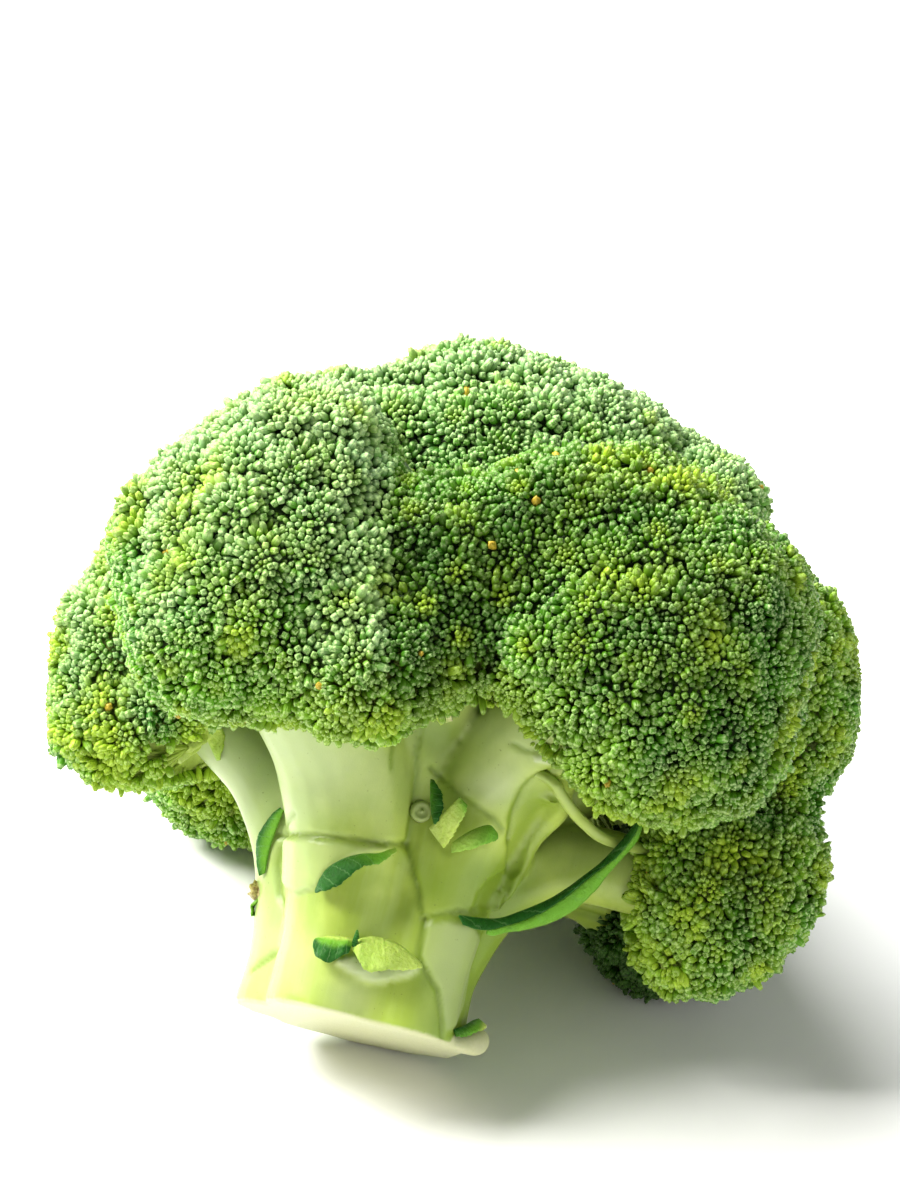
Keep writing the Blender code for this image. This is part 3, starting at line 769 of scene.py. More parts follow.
def add_core(heap, index):
    """The mass of small stems under a floret's buds, hollow round the branch."""
    ways, triangles = ball_mesh(CORE_SUBDIVISIONS)
    angle = np.arccos(np.clip(-(ways @ GROWTH[index]), -1, 1))
    reach = core_reaches(index, ways, angle)
    bare = bare_angle(index, ways)
    hollow = 1 - smooth_step(bare - 0.15, bare + 0.15, angle)
    points = CENTRES[index] + ways * (reach * (1 - 0.16 * hollow))[:, None]
    pale = np.clip(1 - smooth_step(bare, RIM, angle) + 1.4 * YELLOW[index], 0, 1)
    # the third tone is the floret's painted shade, a painted sheen where it is below zero
    tone = np.stack([np.full(len(ways), 0.5), pale, np.full(len(ways), PAINTED_SHADE_AND_SHEEN[index])], 1)
    heap.add(points[None], triangles, STEM_SLOT, (0, 0, 0), tone[None])


def kept_in_box(bases, axes, widths, heights):
    """The bases moved so that no bud reaches out of the solids' box."""
    tips = in_world(bases + axes * heights[:, None])
    room = widths[:, None] * 0.6
    low, high = np.array(CAD_BOX)
    past = tips - np.clip(tips, low + room, high - room)
    return bases - past @ HEAD_TURN


def shares_of(index, belongs, cluster, middles, faces):
    """The floret's buds in one share or several, cluster by cluster round the way it grows."""
    mine = belongs == index
    load = np.bincount(cluster[mine], faces[mine], len(middles))
    spots = np.flatnonzero(load)
    offsets = middles[spots] - CENTRES[index]
    side = unit(np.cross(GROWTH[index], (0, 0, 1)))
    turn = np.arctan2(offsets @ np.cross(GROWTH[index], side), offsets @ side)
    spots = spots[np.argsort(turn)]
    filled = np.cumsum(load[spots])
    count = math.ceil(filled[-1] / PIECE_FACES)
    share = np.minimum(filled * count // filled[-1], count - 1)
    return [mine & np.isin(cluster, spots[share == k]) for k in range(count)]


def bud_shapes(rows, middles):
    """The base, axis, width and height of each bud, and how young it looks."""
    places, ways, widths = rows[:, :3], rows[:, 3:6], rows[:, 6]
    cluster, filling = rows[:, 7].astype(int), rows[:, 8] > 0
    count = len(rows)
    from_middle = places - middles[cluster]
    apart = np.linalg.norm(from_middle, axis=1)
    sideways = from_middle - ways * (from_middle * ways).sum(axis=1)[:, None]
    spread = sideways / BUD_SPREAD
    axes = unit(ways + BUD_LEAN * spread + rng.normal(0, BUD_JITTER, places.shape))
    rise = CLUSTER_RISE * (1 - np.minimum((apart / CLUSTER_REACH) ** 2, 1.9))
    lumps = LUMP_RISE * noise_at(places, LUMP_SIZE)
    rise += lumps + rng.normal(0, RISE_JITTER, count) - CROWN_SINK
    youthful = rng.uniform(0, 1, len(middles)) ** 1.5
    youth = (1 - smooth_step(0.0, YOUTH_REACH, apart)) * youthful[cluster]
    widths = widths * rng.uniform(*BUD_SIZES, count)
    heights = widths * rng.uniform(*BUD_STRETCH, count) * (1 - 0.25 * youth)
    proud = (rng.random(count) < PROUD_SHARE) & ~filling
    heights = np.where(proud, heights * PROUD_STRETCH, heights)
    rise = np.where(filling, rise - GAP_SINK, rise)
    rise = np.where(proud, rise + PROUD_RISE, rise)
    bases = places + ways * rise[:, None] - axes * (heights * BUD_SINK)[:, None]
    return kept_in_box(bases, axes, widths, heights), axes, widths, heights, youth


def bud_tones(rows, belongs, angle, clusters, youth):
    """How bright and how yellow each bud is, and how much painted shade it gets, a painted highlight
    where below zero.
    """
    places, ways, cluster = rows[:, :3], rows[:, 3:6], rows[:, 7].astype(int)
    count = len(rows)
    rim = 1 - smooth_step(bare_angle(belongs, ways), RIM, angle)
    shade = 0.5 * rng.uniform(0, 1, clusters)[cluster] + 0.5 * rng.random(count)
    patches = noise_at(places, PATCH_SIZE)
    ripe = YELLOW[belongs] * (1 + 2.2 * patches) + 0.35 * smooth_step(0.25, 0.6, patches)
    yellow = ripe * rng.uniform(0.4, 1.4, count) + 0.75 * youth + (0.25 + YELLOW[belongs]) * rim
    yellow = np.clip(yellow * (1 - smooth_step(0.5, 0.9, PAINTED_SHADE_AND_SHEEN[belongs])), 0, 1)
    yellow = np.where(rng.random(count) < SPOILT_SHARE, SPOILT, yellow)
    # Buds that face up get a painted highlight, a pale sheen and bloom, on florets whose painted shade
    # is below zero;
    upward = smooth_step(-0.05, 0.85, ways @ UP)
    sheen_and_bloom = np.where(PAINTED_SHADE_AND_SHEEN[belongs] < 0, rng.uniform(0.6, 1.3, count) * upward, 1)
    # buds that face the front (-Y) get more painted shade.
    front = smooth_step(0.72, 1.0, -ways[:, 1])
    return np.stack([shade, yellow, PAINTED_SHADE_AND_SHEEN[belongs] * sheen_and_bloom + 0.32 * front], 1)


def add_stems(heap, index, ends, cluster, middles):
    """Limbs from a floret's neck toward its clusters, and from them a stem to each end."""
    if not len(ends):
        return
    neck = CENTRES[index] - GROWTH[index] * RADII[index] * NECK_SHARE
    hung, where = np.unique(cluster, return_inverse=True)
    forks = middles[hung] * LIMB_FORK + neck * (1 - LIMB_FORK)
    necks = np.broadcast_to(neck, forks.shape)
    place_stems(heap, necks, forks, LIMB_RADII, LIMB_SIDES, (0.5, 1.0, PAINTED_SHADE_AND_SHEEN[index]))
    place_stems(heap, forks[where], ends, STEM_RADII, STEM_SIDES, (0.5, 0.9, PAINTED_SHADE_AND_SHEEN[index]))


def make_florets(bud_material, stem_material):
    """Every floret: its core, its buds and their stems, as one piece or several."""
    rows, belongs, angle, middles = scatter_buds()
    cluster = rows[:, 7].astype(int)
    bases, axes, widths, heights, youth = bud_shapes(rows, middles)
    tone = bud_tones(rows, belongs, angle, len(middles), youth)
    stem_ends = bases + axes * (heights * 0.15)[:, None]
    low = angle < RIM
    small = widths < SMALL_BUD
    stem_faces = len(lathe(len(STEM_RINGS), STEM_SIDES))
    faces = np.where(small, len(YOUNG[1]), len(PLUMP[1])) + low * stem_faces
    for index, name in enumerate(NAMES):
        for part, mine in enumerate(shares_of(index, belongs, cluster, middles, faces)):
            heap = Heap()
            if part == 0:
                add_core(heap, index)
            for form, chosen in ((PLUMP, mine & ~small), (YOUNG, mine & small)):
                shape = bases[chosen], axes[chosen], widths[chosen] * 0.98, heights[chosen]
                place_forms(heap, form, *shape, BUD_SLOT, tone[chosen])
            held = mine & low
            add_stems(heap, index, stem_ends[held], cluster[held], middles)
            piece = "buds_" + name + (f"_{part + 1}" if part else "")
            add_piece(piece, heap, "bud_green", "floret_" + name, bud_material, stem_material)


# The stalk


def applied(obj):
    """The object's mesh with its modifiers worked in; the object itself is removed."""
    bpy.context.view_layer.update()
    evaluated = obj.evaluated_get(bpy.context.evaluated_depsgraph_get())
    mesh = bpy.data.meshes.new_from_object(evaluated)
    bpy.data.objects.remove(obj)
    return mesh


def tube(points, radii):
    """A smooth tube through the points, thick by the radii, as a closed mesh."""
    curve = bpy.data.curves.new("branch", "CURVE")
    curve.dimensions = "3D"
    curve.bevel_depth = 1.0
    curve.bevel_resolution = 8
    curve.resolution_u = 16
    curve.use_fill_caps = True
    spline = curve.splines.new("BEZIER")
    spline.bezier_points.add(len(points) - 1)
    for knot, point, radius in zip(spline.bezier_points, points, radii):
        knot.co = point
        knot.radius = radius
        knot.handle_left_type = knot.handle_right_type = "AUTO"
    return applied(add_object("branch", curve))


def stalk_tubes():
    """(points, radii) of the core and of each branch, in the head's frame."""
    core = [Vector((0, 0, z)) for z in (-10 * MM, CORE_HEIGHT / 2, CORE_HEIGHT)]
    yield core, [CORE_RADIUS * 1.06, CORE_RADIUS, CORE_RADIUS * 0.9]
    for name, azimuth, foot, foot_radius, reach, height, bend_radius, neck_radius in BRANCHES:
        index = NAMES.index(name)
        centre = Vector(CENTRES[index])
        side = math.degrees(math.atan2(centre.y, centre.x))
        bend = polar(side, reach, height)
        inward = (centre - bend).normalized()
        neck = centre - inward * RADII[index] * NECK_SHARE
        tip = centre - inward * RADII[index] * TIP_SHARE
        points = [polar(azimuth, foot, -10), polar(azimuth, foot, 16), bend, neck, tip]
        radii = [foot_radius, foot_radius * 0.95, bend_radius, neck_radius, neck_radius * 0.9]
        yield points, [radius * MM for radius in radii]
    yield [polar(*point) for point in LIP], [radius * MM for radius in LIP_RADII]
    yield [polar(*point) for point in WEB], [radius * MM for radius in WEB_RADII]


def cut_off(bm):
    """Removes what lies beyond the cut and closes the body there."""
    cut = bmesh.ops.bisect_plane(
        bm,
        geom=bm.verts[:] + bm.edges[:] + bm.faces[:],
        dist=1e-6,
        plane_co=CUT_CENTRE,
        plane_no=CUT_FACING,
        clear_outer=True,
    )
    rim = [item for item in cut["geom_cut"] if isinstance(item, bmesh.types.BMEdge)]
    if rim:
        bmesh.ops.edgenet_fill(bm, edges=rim)


def arrays_of(mesh):
    """Points, normals and triangles of a mesh, which is then removed."""
    found = []
    for key in ("co", "normal"):
        values = np.empty(len(mesh.vertices) * 3, np.float32)
        mesh.vertices.foreach_get(key, values)
        found.append(values.reshape(-1, 3).astype(float))
    triangles = np.empty(len(mesh.loops), np.int32)
    mesh.loops.foreach_get("vertex_index", triangles)
    bpy.data.meshes.remove(mesh)
    return *found, triangles.reshape(-1, 3)


def triangulated(shape):
    """Points, normals and triangles of an object, which is then removed."""
    shape.modifiers.new("Triangles", "TRIANGULATE")
    return arrays_of(applied(shape))


class Skin:
    """Places on the stalk's skin, laid flat round each of its points in turn."""

    def __init__(self, points):
        self.azimuth = np.arctan2(points[:, 1], points[:, 0])
        self.reach = np.hypot(points[:, 0], points[:, 1]) / MM
        self.height = points[:, 2] / MM

    def toward(self, azimuth, height):
        """Millimetres across and up from each point to a place."""
        turn = math.radians(azimuth) - self.azimuth
        turn = (turn + math.pi) % (2 * math.pi) - math.pi
        return turn * self.reach, height - self.height

    def spans(self, line):
        """Where each stretch of a line through places starts and ends, from each point."""
        for first, last in zip(line, line[1:]):
            yield *self.toward(*first), *self.toward(*last)

    def off_line(self, line):
        """Millimetres from each point to a line through places."""
        nearest = np.full(len(self.reach), np.inf)
        for x, y, x_last, y_last in self.spans(line):
            dx, dy = x_last - x, y_last - y
            share = np.clip(-(x * dx + y * dy) / (dx * dx + dy * dy), 0, 1)
            nearest = np.minimum(nearest, np.hypot(x + dx * share, y + dy * share))
        return nearest

    def inside(self, outline):
        """Which points lie inside a closed line through places."""
        crossings = np.zeros(len(self.reach), int)
        for x, y, x_last, y_last in self.spans(outline + outline[:1]):
            crosses = (y > 0) != (y_last > 0)
            with np.errstate(divide="ignore", invalid="ignore"):
                across = x - y * (x_last - x) / (y_last - y)
            crossings += crosses & (across > 0)
        return crossings % 2 == 1

    def marks(self):
        """Rise in millimetres, and how olive and how pale the skin is: partly its own colour, partly
        painted shade and painted highlight.
        """
        rise, olive_and_shade, pale = np.zeros((3, len(self.reach)))
        for depth, width, line in CREASES:
            groove = np.exp(-((self.off_line(line) / width) ** 2))
            rise -= depth * groove
            olive_and_shade = np.maximum(olive_and_shade, 0.9 * groove)
        for up, more_olive_and_shade, more_pale, outline in PANELS:
            off = self.off_line(outline) * np.where(self.inside(outline), 1, -1)
            share = smooth_step(-0.5, 0.5, off)
            rise += up * share
            olive_and_shade = np.maximum(olive_and_shade, more_olive_and_shade * share)
            pale = np.maximum(pale, more_pale * share)
        for azimuth, height, size, up, more_olive_and_shade, more_pale in PLACES:
            share = np.exp(-((np.hypot(*self.toward(azimuth, height)) / size) ** 2))
            rise += up * share
            olive_and_shade += more_olive_and_shade * share
            pale += more_pale * share
        outer = smooth_step(13, 17, self.reach) * (1 - smooth_step(66, 70, self.height))
        return rise * outer, np.clip(olive_and_shade, 0, 1) * outer, np.clip(pale, 0, 1) * outer


def fused_stalk():
    """The stalk's tubes as one smooth skin: points, normals and triangles."""
    joined = bmesh.new()
    for points, radii in stalk_tubes():
        mesh = tube(points, radii)
        bm = bmesh.new()
        bm.from_mesh(mesh)
        bmesh.ops.remove_doubles(bm, verts=bm.verts, dist=1e-6)
        cut_off(bm)
        bm.to_mesh(mesh)
        bm.free()
        joined.from_mesh(mesh)
        bpy.data.meshes.remove(mesh)
    rough = bpy.data.meshes.new("stalk_tubes")
    joined.to_mesh(rough)
    joined.free()
    shape = add_object("stalk_shape", rough)
    remesh = shape.modifiers.new("Fuse", "REMESH")
    remesh.mode = "VOXEL"
    remesh.voxel_size = STALK_VOXEL
    smooth = shape.modifiers.new("Smooth", "SMOOTH")
    smooth.factor = 0.5
    smooth.iterations = STALK_SMOOTHING
    return triangulated(shape)


def lip_flesh(points):
    """How much of the curled lip's pale flesh shows at each point."""
    knots = spline_through([polar(*point) for point in LIP], 12)
    radii = np.interp(np.linspace(0, 1, 12), np.linspace(0, 1, len(LIP)), LIP_RADII) * MM
    off = np.linalg.norm(points[:, None, :] - knots, axis=2) - radii
    return 1 - smooth_step(0.1 * MM, 0.9 * MM, off.min(axis=1))


def add_twig(heap, line, radius, roughness, tone):
    """A thin lumpy tube along a line of places."""
    knots = [polar(*point) for point in line]
    body, _, triangles = triangulated(add_object("twig", tube(knots, [radius] * len(knots))))
    middle = np.array(sum(knots, Vector()) / len(knots))
    lumps = noise_at(body, TWIG_LUMPS) * radius * roughness
    body = body + unit(body - middle) * lumps[:, None]
    heap.add(body[None], triangles, 0, body[None] / MM, tone)


def make_stalk(material):
    """The stalk's skin with its marks, the twig, the torn foot of a leaf and the round scar."""
    heap = Heap()
    points, normals, triangles = fused_stalk()
    beyond = (points - np.array(CUT_CENTRE)) @ np.array(CUT_FACING)
    flesh = np.maximum(smooth_step(-0.9 * MM, -0.3 * MM, beyond), lip_flesh(points))
    rise, olive_and_shade, pale = Skin(points).marks()
    points = points + normals * (rise * MM * (1 - flesh))[:, None]
    tone = np.stack([flesh, olive_and_shade, pale], 1)
    heap.add(points[None], triangles, 0, points[None] / MM, tone[None])
    add_twig(heap, TWIG, TWIG_RADIUS, 0.1, (0.0, 0.25, 0.2))
    add_twig(heap, STUB, STUB_RADIUS, 0.6, (-1.0, 0.0, 0.0))
    scar = polar(*BUD_SCAR)
    outward = np.array(Vector((scar.x, scar.y, 0)).normalized())
    width = np.array([2 * BUD_SCAR_RADIUS])
    tone = np.array([[0.0, 0.25, 0.55]])
    place_forms(heap, SCAR, np.array(scar)[None], outward[None], width, width / 2, 0, tone)
    add_piece("stalk_skin", heap, "stalk_green", "stalk", material)


# The leaves


def spline_through(points, count):
    """This many points on a smooth curve through the points."""
    knots = np.array(points)
    padded = np.vstack([2 * knots[0] - knots[1], knots, 2 * knots[-1] - knots[-2]])
    places = np.linspace(0, len(knots) - 1.000001, count)
    found = []
    for place in places:
        k = int(place)
        t = place - k
        a, b, c, d = padded[k : k + 4]
        curve = 2 * b + (c - a) * t + (2 * a - 5 * b + 4 * c - d) * t**2
        found.append((curve + (3 * b - a - 3 * c + d) * t**3) / 2)
    return np.array(found)


def blade(bulge, teeth, shades, first, last):
    """One blade between two edges: points, triangles, and its place and shade as a layer."""
    run = np.linspace(0, 1, LEAF_ROWS)[:, None]
    side = np.linspace(0, 1, LEAF_COLUMNS)[None, :]
    upper = spline_through([polar(*point) for point in first], LEAF_ROWS)[:, None]
    lower = spline_through([polar(*point) for point in last], LEAF_ROWS)[:, None]
    across = lower - upper
    along = np.gradient((upper + lower) / 2, axis=0)
    outward = unit(np.cross(unit(along), across))
    outward *= np.sign((outward * upper).sum(axis=2).mean())
    saw = np.abs(np.sin(run * 26 + 1)) + 0.6 * np.abs(np.sin(run * 61))
    taper = np.minimum(1, 8 * np.minimum(run, 1 - run) + 0.15)
    points = upper + across * side[:, :, None]
    points = points + unit(across) * (teeth * MM * saw * taper * side**3)[:, :, None]
    wave = 0.5 * bulge * np.sin(run * 15) * side**2
    hump = bulge * 4 * side * (1 - side) * taper
    points = points + outward * ((hump + wave) * MM)[:, :, None]
    start, end, low_start, low_end = shades
    late = run**2
    shade = (start + (end - start) * late) * (1 - side)
    shade = shade + (low_start + (low_end - low_start) * late) * side
    local = np.stack(np.broadcast_arrays(side, run, shade), 2)
    row, column = np.meshgrid(np.arange(LEAF_ROWS - 1), np.arange(LEAF_COLUMNS - 1), indexing="ij")
    corner = (row * LEAF_COLUMNS + column).ravel()
    below = corner + LEAF_COLUMNS
    triangles = np.concatenate(
        [np.stack([corner, corner + 1, below + 1], 1), np.stack([corner, below + 1, below], 1)]
    )
    return points.reshape(1, -1, 3), triangles, local.reshape(1, -1, 3)


def make_leaf(name, blades, material):
    """A leaf of one or more thin veined blades."""
    heap = Heap()
    for row in blades:
        points, triangles, local = blade(*row)
        heap.add(points, triangles, 0, local, points / MM)
    piece = add_piece(name + "_blade", heap, "leaf_green", name, material)
    thickness = piece.modifiers.new("Thickness", "SOLIDIFY")
    thickness.thickness = LEAF_THICKNESS
    thickness.offset = 0.0


# Materials


class Nodes:
    """A material's nodes, made by short calls."""

    def __init__(self, name):
        self.material = bpy.data.materials.new(name)
        self.material.use_nodes = True
        self.tree = self.material.node_tree
        self.shader = self.tree.nodes["Principled BSDF"]

    def put(self, socket, value):
        """Joins a socket to another, or sets its value."""
        if isinstance(value, bpy.types.NodeSocket):
            self.tree.links.new(value, socket)
        elif isinstance(value, tuple) and len(value) == 3 and socket.type == "RGBA":
            socket.default_value = (*value, 1)
        else:
            socket.default_value = value

    def add(self, kind, *values, **settings):
        """A new node with these settings and with values for its first inputs."""
        node = self.tree.nodes.new("ShaderNode" + kind)
        for key, value in settings.items():
            setattr(node, key, value)
        for socket, value in zip(node.inputs, values):
            self.put(socket, value)
        return node

    def layer(self, name):
        """A layer of the mesh."""
        return self.add("Attribute", attribute_name=name).outputs["Vector"]

    def place(self):
        """The place on the object, in metres."""
        return self.add("TexCoord").outputs["Object"]

    def split(self, vector):
        return self.add("SeparateXYZ", vector).outputs

    def scaled(self, vector, scale):
        return self.add("VectorMath", vector, scale, operation="MULTIPLY").outputs[0]

    def grain(self, vector, scale, detail, rough):
        """Soft noise about this many times a unit."""
        node = self.add("TexNoise", vector)
        node.inputs["Scale"].default_value = scale
        node.inputs["Detail"].default_value = detail
        node.inputs["Roughness"].default_value = rough
        return node.outputs["Fac"]

    def work(self, operation, a, b=0.0):
        return self.add("Math", a, b, operation=operation).outputs[0]

    def times(self, a, b):
        return self.work("MULTIPLY", a, b)

    def step(self, value, low, high, first=0.0, last=1.0):
        """Runs smoothly from first to last as value goes from low to high."""
        bounds = value, low, high, first, last
        return self.add("MapRange", *bounds, interpolation_type="SMOOTHSTEP").outputs[0]

    def mix(self, share, a, b):
        """The colour a, with a share of b in it."""
        node = self.add("Mix", share, data_type="RGBA")
        self.put(node.inputs[6], a)
        self.put(node.inputs[7], b)
        return node.outputs[2]

    def surface(self, colour, grain, smooth, rough):
        """Gives the material its colour and a roughness that follows the grain."""
        self.put(self.shader.inputs["Base Color"], colour)
        self.put(self.shader.inputs["Roughness"], self.step(grain, 0.3, 0.7, smooth, rough))

    def shine(self, level, tint):
        self.put(self.shader.inputs["Specular IOR Level"], level)
        self.put(self.shader.inputs["Specular Tint"], tint)

    def soak(self, weight, reaches, scale):
        """Lets light in below the surface, this far for red, green and blue."""
        self.put(self.shader.inputs["Subsurface Weight"], weight)
        self.put(self.shader.inputs["Subsurface Radius"], reaches)
        self.put(self.shader.inputs["Subsurface Scale"], scale)

    def bump(self, height, distance, strength):
        """Shades the surface as if it rose and fell with the height."""
        node = self.add("Bump", strength, distance)
        self.put(node.inputs["Height"], height)
        self.put(self.shader.inputs["Normal"], node.outputs[0])


def bud_finish():
    """Green buds with paler seams between their sepals, a pale tip ring that is partly painted
    highlight, a painted sheen on top and painted shade; the tone layer varies each one.
    """
    n = Nodes("bud_skin")
    local = n.split(n.layer("local"))
    tone = n.split(n.layer("tone"))
    place = n.place()
    radius = n.work("ADD", n.times(local[0], local[0]), n.times(local[1], local[1]))
    product = n.work("ABSOLUTE", n.times(local[0], local[1]))
    from_seam = n.work("DIVIDE", n.times(product, 2.0), n.work("ADD", radius, 0.02))
    seam = n.step(from_seam, 0.04, 0.42, 1.0, 0.0)
    height = local[2]
    grain = n.grain(place, 2600, 3.0, 0.6)
    patch = n.grain(place, 75, 3.0, 0.6)
    foot = n.mix(grain, (0.05, 0.19, 0.005), (0.12, 0.33, 0.010))
    cap = n.mix(n.step(tone[0], 0.1, 0.9), (0.012, 0.092, 0.004), (0.070, 0.275, 0.010))
    cap = n.mix(n.step(patch, 0.46, 0.68, 0.0, 0.6), cap, (0.105, 0.33, 0.012))
    colour = n.mix(n.step(height, 0.30, 0.62), foot, cap)
    # A painted highlight: a pale sheen and bloom on the tops of buds whose tone is below zero.
    sheen_and_bloom = n.times(n.step(tone[2], 0.0, -1.0), n.step(height, 0.40, 0.85, 0.25, 0.85))
    colour = n.mix(sheen_and_bloom, colour, n.mix(grain, (0.20, 0.36, 0.14), (0.42, 0.57, 0.33)))
    edge = n.times(seam, n.step(height, 0.52, 0.80))
    colour = n.mix(n.times(edge, 0.55), colour, (0.31, 0.57, 0.14))
    # A pale ring round each tip: partly the sepals' paler edges, partly a painted highlight.
    ring = n.times(n.step(height, 0.80, 0.87), n.step(height, 0.965, 0.92))
    ring = n.times(ring, n.step(grain, 0.35, 0.6, 0.35, 0.85))
    colour = n.mix(ring, colour, (0.48, 0.66, 0.28))
    # Painted shade, as much as the tone's third value says.
    painted_shade = n.mix(grain, (0.006, 0.034, 0.002), (0.024, 0.085, 0.004))
    colour = n.mix(n.work("MAXIMUM", tone[2], 0.0), colour, painted_shade)
    young = n.mix(grain, (0.22, 0.39, 0.014), (0.45, 0.58, 0.040))
    colour = n.mix(n.times(n.work("MINIMUM", tone[1], 1.0), 0.85), colour, young)
    colour = n.mix(n.step(tone[1], 1.2, 1.6), colour, (0.42, 0.30, 0.03))
    n.surface(colour, grain, 0.30, 0.44)
    n.shine(0.38, (0.85, 1.0, 0.55))
    relief = n.work("SUBTRACT", n.times(grain, 0.5), n.times(edge, 0.9))
    n.bump(relief, 0.14 * MM, 0.9)
    return n.material


def stem_finish():
    """The small stems, pale at the rim and painted nearly black with shade between the buds."""
    n = Nodes("stem_flesh")
    tone = n.split(n.layer("tone"))
    place = n.place()
    grain = n.grain(place, 900, 4.0, 0.6)
    pale = n.mix(grain, (0.22, 0.33, 0.03), (0.46, 0.56, 0.10))
    painted_shade = n.mix(grain, (0.012, 0.040, 0.004), (0.06, 0.13, 0.010))
    colour = n.mix(n.step(tone[1], 0.2, 0.9), painted_shade, pale)
    # more painted shade where the floret's painted shade says so
    colour = n.mix(n.times(n.work("MAXIMUM", tone[2], 0.0), 0.9), colour, painted_shade)
    n.surface(colour, grain, 0.45, 0.7)
    n.bump(grain, 0.4 * MM, 0.8)
    return n.material


def stalk_finish():
    """Waxy skin with pale streaks and places, cut flesh at the end and a brown torn foot; some places
    are painted highlight and painted shade, the right side has painted shade, and the lamp-lit left
    side is painted darker.
    """
    n = Nodes("stalk_skin")
    local = n.layer("local")
    tone = n.split(n.layer("tone"))
    side = n.split(local)
    streaks = n.grain(n.scaled(local, (1.1, 1.1, 0.09)), 1.0, 3.0, 0.6)
    mottle = n.grain(local, 0.11, 3.0, 0.5)
    cells = n.grain(local, 3.2, 3.0, 0.6)
    colour = n.mix(n.step(mottle, 0.35, 0.65), (0.31, 0.42, 0.043), (0.42, 0.53, 0.080))
    colour = n.mix(n.step(streaks, 0.40, 0.70, 0.0, 0.12), colour, (0.46, 0.57, 0.17))
    # Painted shade on the stalk's right side below the branches.
    in_shade = n.times(n.step(side[0], -4.0, 20.0), n.step(side[2], 42.0, 34.0))
    in_shade = n.times(in_shade, n.step(side[0], 32.0, 24.0))
    colour = n.mix(n.times(in_shade, 0.75), colour, (0.17, 0.28, 0.014))
    # Pale places, partly the skin's own pale panels and partly painted highlight.
    colour = n.mix(tone[2], colour, (0.47, 0.54, 0.28))
    # The left side, which the key lamp lights, painted darker and greyer against glare.
    colour = n.mix(n.step(side[0], -9.0, -22.0, 0.0, 0.50), colour, (0.32, 0.42, 0.17))
    # Olive lines and places, partly the skin's own and partly painted shade.
    colour = n.mix(n.times(tone[1], 0.8), colour, (0.16, 0.25, 0.010))
    spots = n.step(n.grain(local, 1.6, 1.0, 0.4), 0.765, 0.785)
    colour = n.mix(n.times(spots, 0.5), colour, (0.12, 0.16, 0.02))
    fibres = n.grain(local, 1.3, 4.0, 0.65)
    flesh = n.mix(fibres, (0.43, 0.45, 0.23), (0.56, 0.56, 0.35))
    colour = n.mix(n.step(tone[0], 0.0, 1.0), colour, flesh)
    husk = n.mix(n.step(fibres, 0.4, 0.6), (0.16, 0.10, 0.02), (0.42, 0.36, 0.12))
    colour = n.mix(n.step(tone[0], -0.2, -0.8), colour, husk)
    n.surface(colour, cells, 0.34, 0.48)
    n.soak(0.25, (0.8, 1.0, 0.25), 3.0 * MM)
    relief = n.work("ADD", n.times(streaks, 0.1), n.times(cells, 0.12))
    n.bump(relief, 0.45 * MM, 0.5)
    return n.material


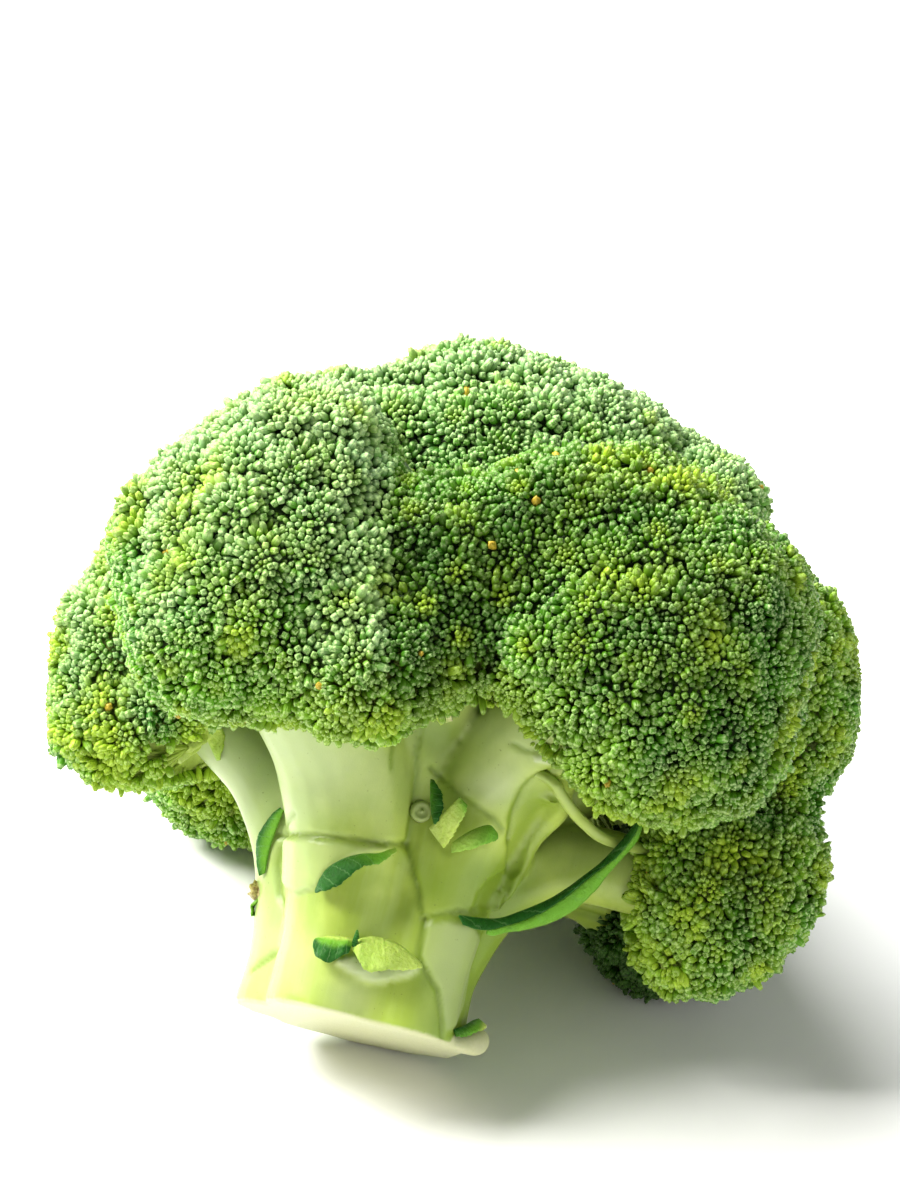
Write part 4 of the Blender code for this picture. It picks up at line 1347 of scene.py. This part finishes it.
def leaf_finish():
    """Dark to pale green blades with a midrib and side veins."""
    n = Nodes("leaf_blade")
    local = n.split(n.layer("local"))
    place = n.layer("tone")
    grain = n.grain(place, 1.1, 3.0, 0.6)
    dark = n.mix(grain, (0.005, 0.055, 0.006), (0.024, 0.135, 0.016))
    bright = n.mix(grain, (0.10, 0.28, 0.020), (0.17, 0.40, 0.035))
    lime = n.mix(grain, (0.34, 0.48, 0.035), (0.58, 0.70, 0.20))
    cream = n.mix(grain, (0.55, 0.58, 0.22), (0.74, 0.74, 0.42))
    colour = n.mix(n.step(local[2], 0.05, 0.5), dark, bright)
    colour = n.mix(n.step(local[2], 0.5, 0.95), colour, lime)
    colour = n.mix(n.step(local[2], 1.0, 1.15), colour, cream)
    slant = n.times(n.work("SUBTRACT", local[1], n.times(local[0], 0.10)), 44.0)
    wander = n.times(n.times(grain, 0.9), 3.0)
    vein_wave = n.work("SINE", n.work("ADD", slant, wander))
    vein = n.work("MAXIMUM", n.step(vein_wave, 0.90, 1.0), n.step(local[0], 0.14, 0.02, 0.0, 1.0))
    strength = n.step(local[2], 0.0, 0.8, 0.40, 0.0)
    vein = n.times(vein, strength)
    colour = n.mix(vein, colour, (0.14, 0.30, 0.10))
    n.surface(colour, grain, 0.42, 0.56)
    n.shine(0.18, (0.8, 1.0, 0.6))
    n.soak(0.15, (0.5, 1.0, 0.2), 1.0 * MM)
    n.bump(n.work("SUBTRACT", n.times(grain, 1.6), vein), 0.4 * MM, 0.7)
    return n.material


def floor_finish():
    n = Nodes("floor_matte")
    grain = n.grain(n.place(), 60, 3.0, 0.6)
    n.surface(n.mix(grain, (0.88, 0.88, 0.87), (0.92, 0.92, 0.91)), grain, 0.65, 0.8)
    return n.material


# The studio


def make_studio():
    """A pale floor, three lamps and a dim white sky."""
    bpy.ops.mesh.primitive_plane_add(size=FLOOR_SIZE)
    floor = bpy.context.object
    floor.name = "floor"
    floor.data.materials.append(floor_finish())
    for name, place, size, power, colour in LAMPS:
        light = bpy.data.lights.new(name, "AREA")
        light.size = size
        light.energy = power
        light.color = colour
        lamp = add_object(name, light)
        lamp.location = place
        lamp.rotation_euler = (LAMPS_FACE - Vector(place)).to_track_quat("-Z", "Y").to_euler()
    world = bpy.data.worlds.new("studio")
    world.use_nodes = True
    sky = world.node_tree.nodes["Background"].inputs
    sky["Color"].default_value = (1, 1, 1, 1)
    sky["Strength"].default_value = SKY_STRENGTH
    bpy.context.scene.world = world


def make_camera():
    data = bpy.data.cameras.new("camera")
    data.lens = LENS
    data.sensor_width = SENSOR
    camera = add_object("camera", data)
    camera.location = CAMERA_AT
    camera.rotation_euler = (math.pi / 2 - CAMERA_DOWN, 0, 0)
    bpy.context.scene.camera = camera


bpy.context.scene.view_settings.view_transform = "Standard"
make_camera()
make_studio()
make_florets(bud_finish(), stem_finish())
make_stalk(stalk_finish())
LEAF = leaf_finish()
for leaf, blades in LEAVES.items():
    make_leaf(leaf, blades, LEAF)
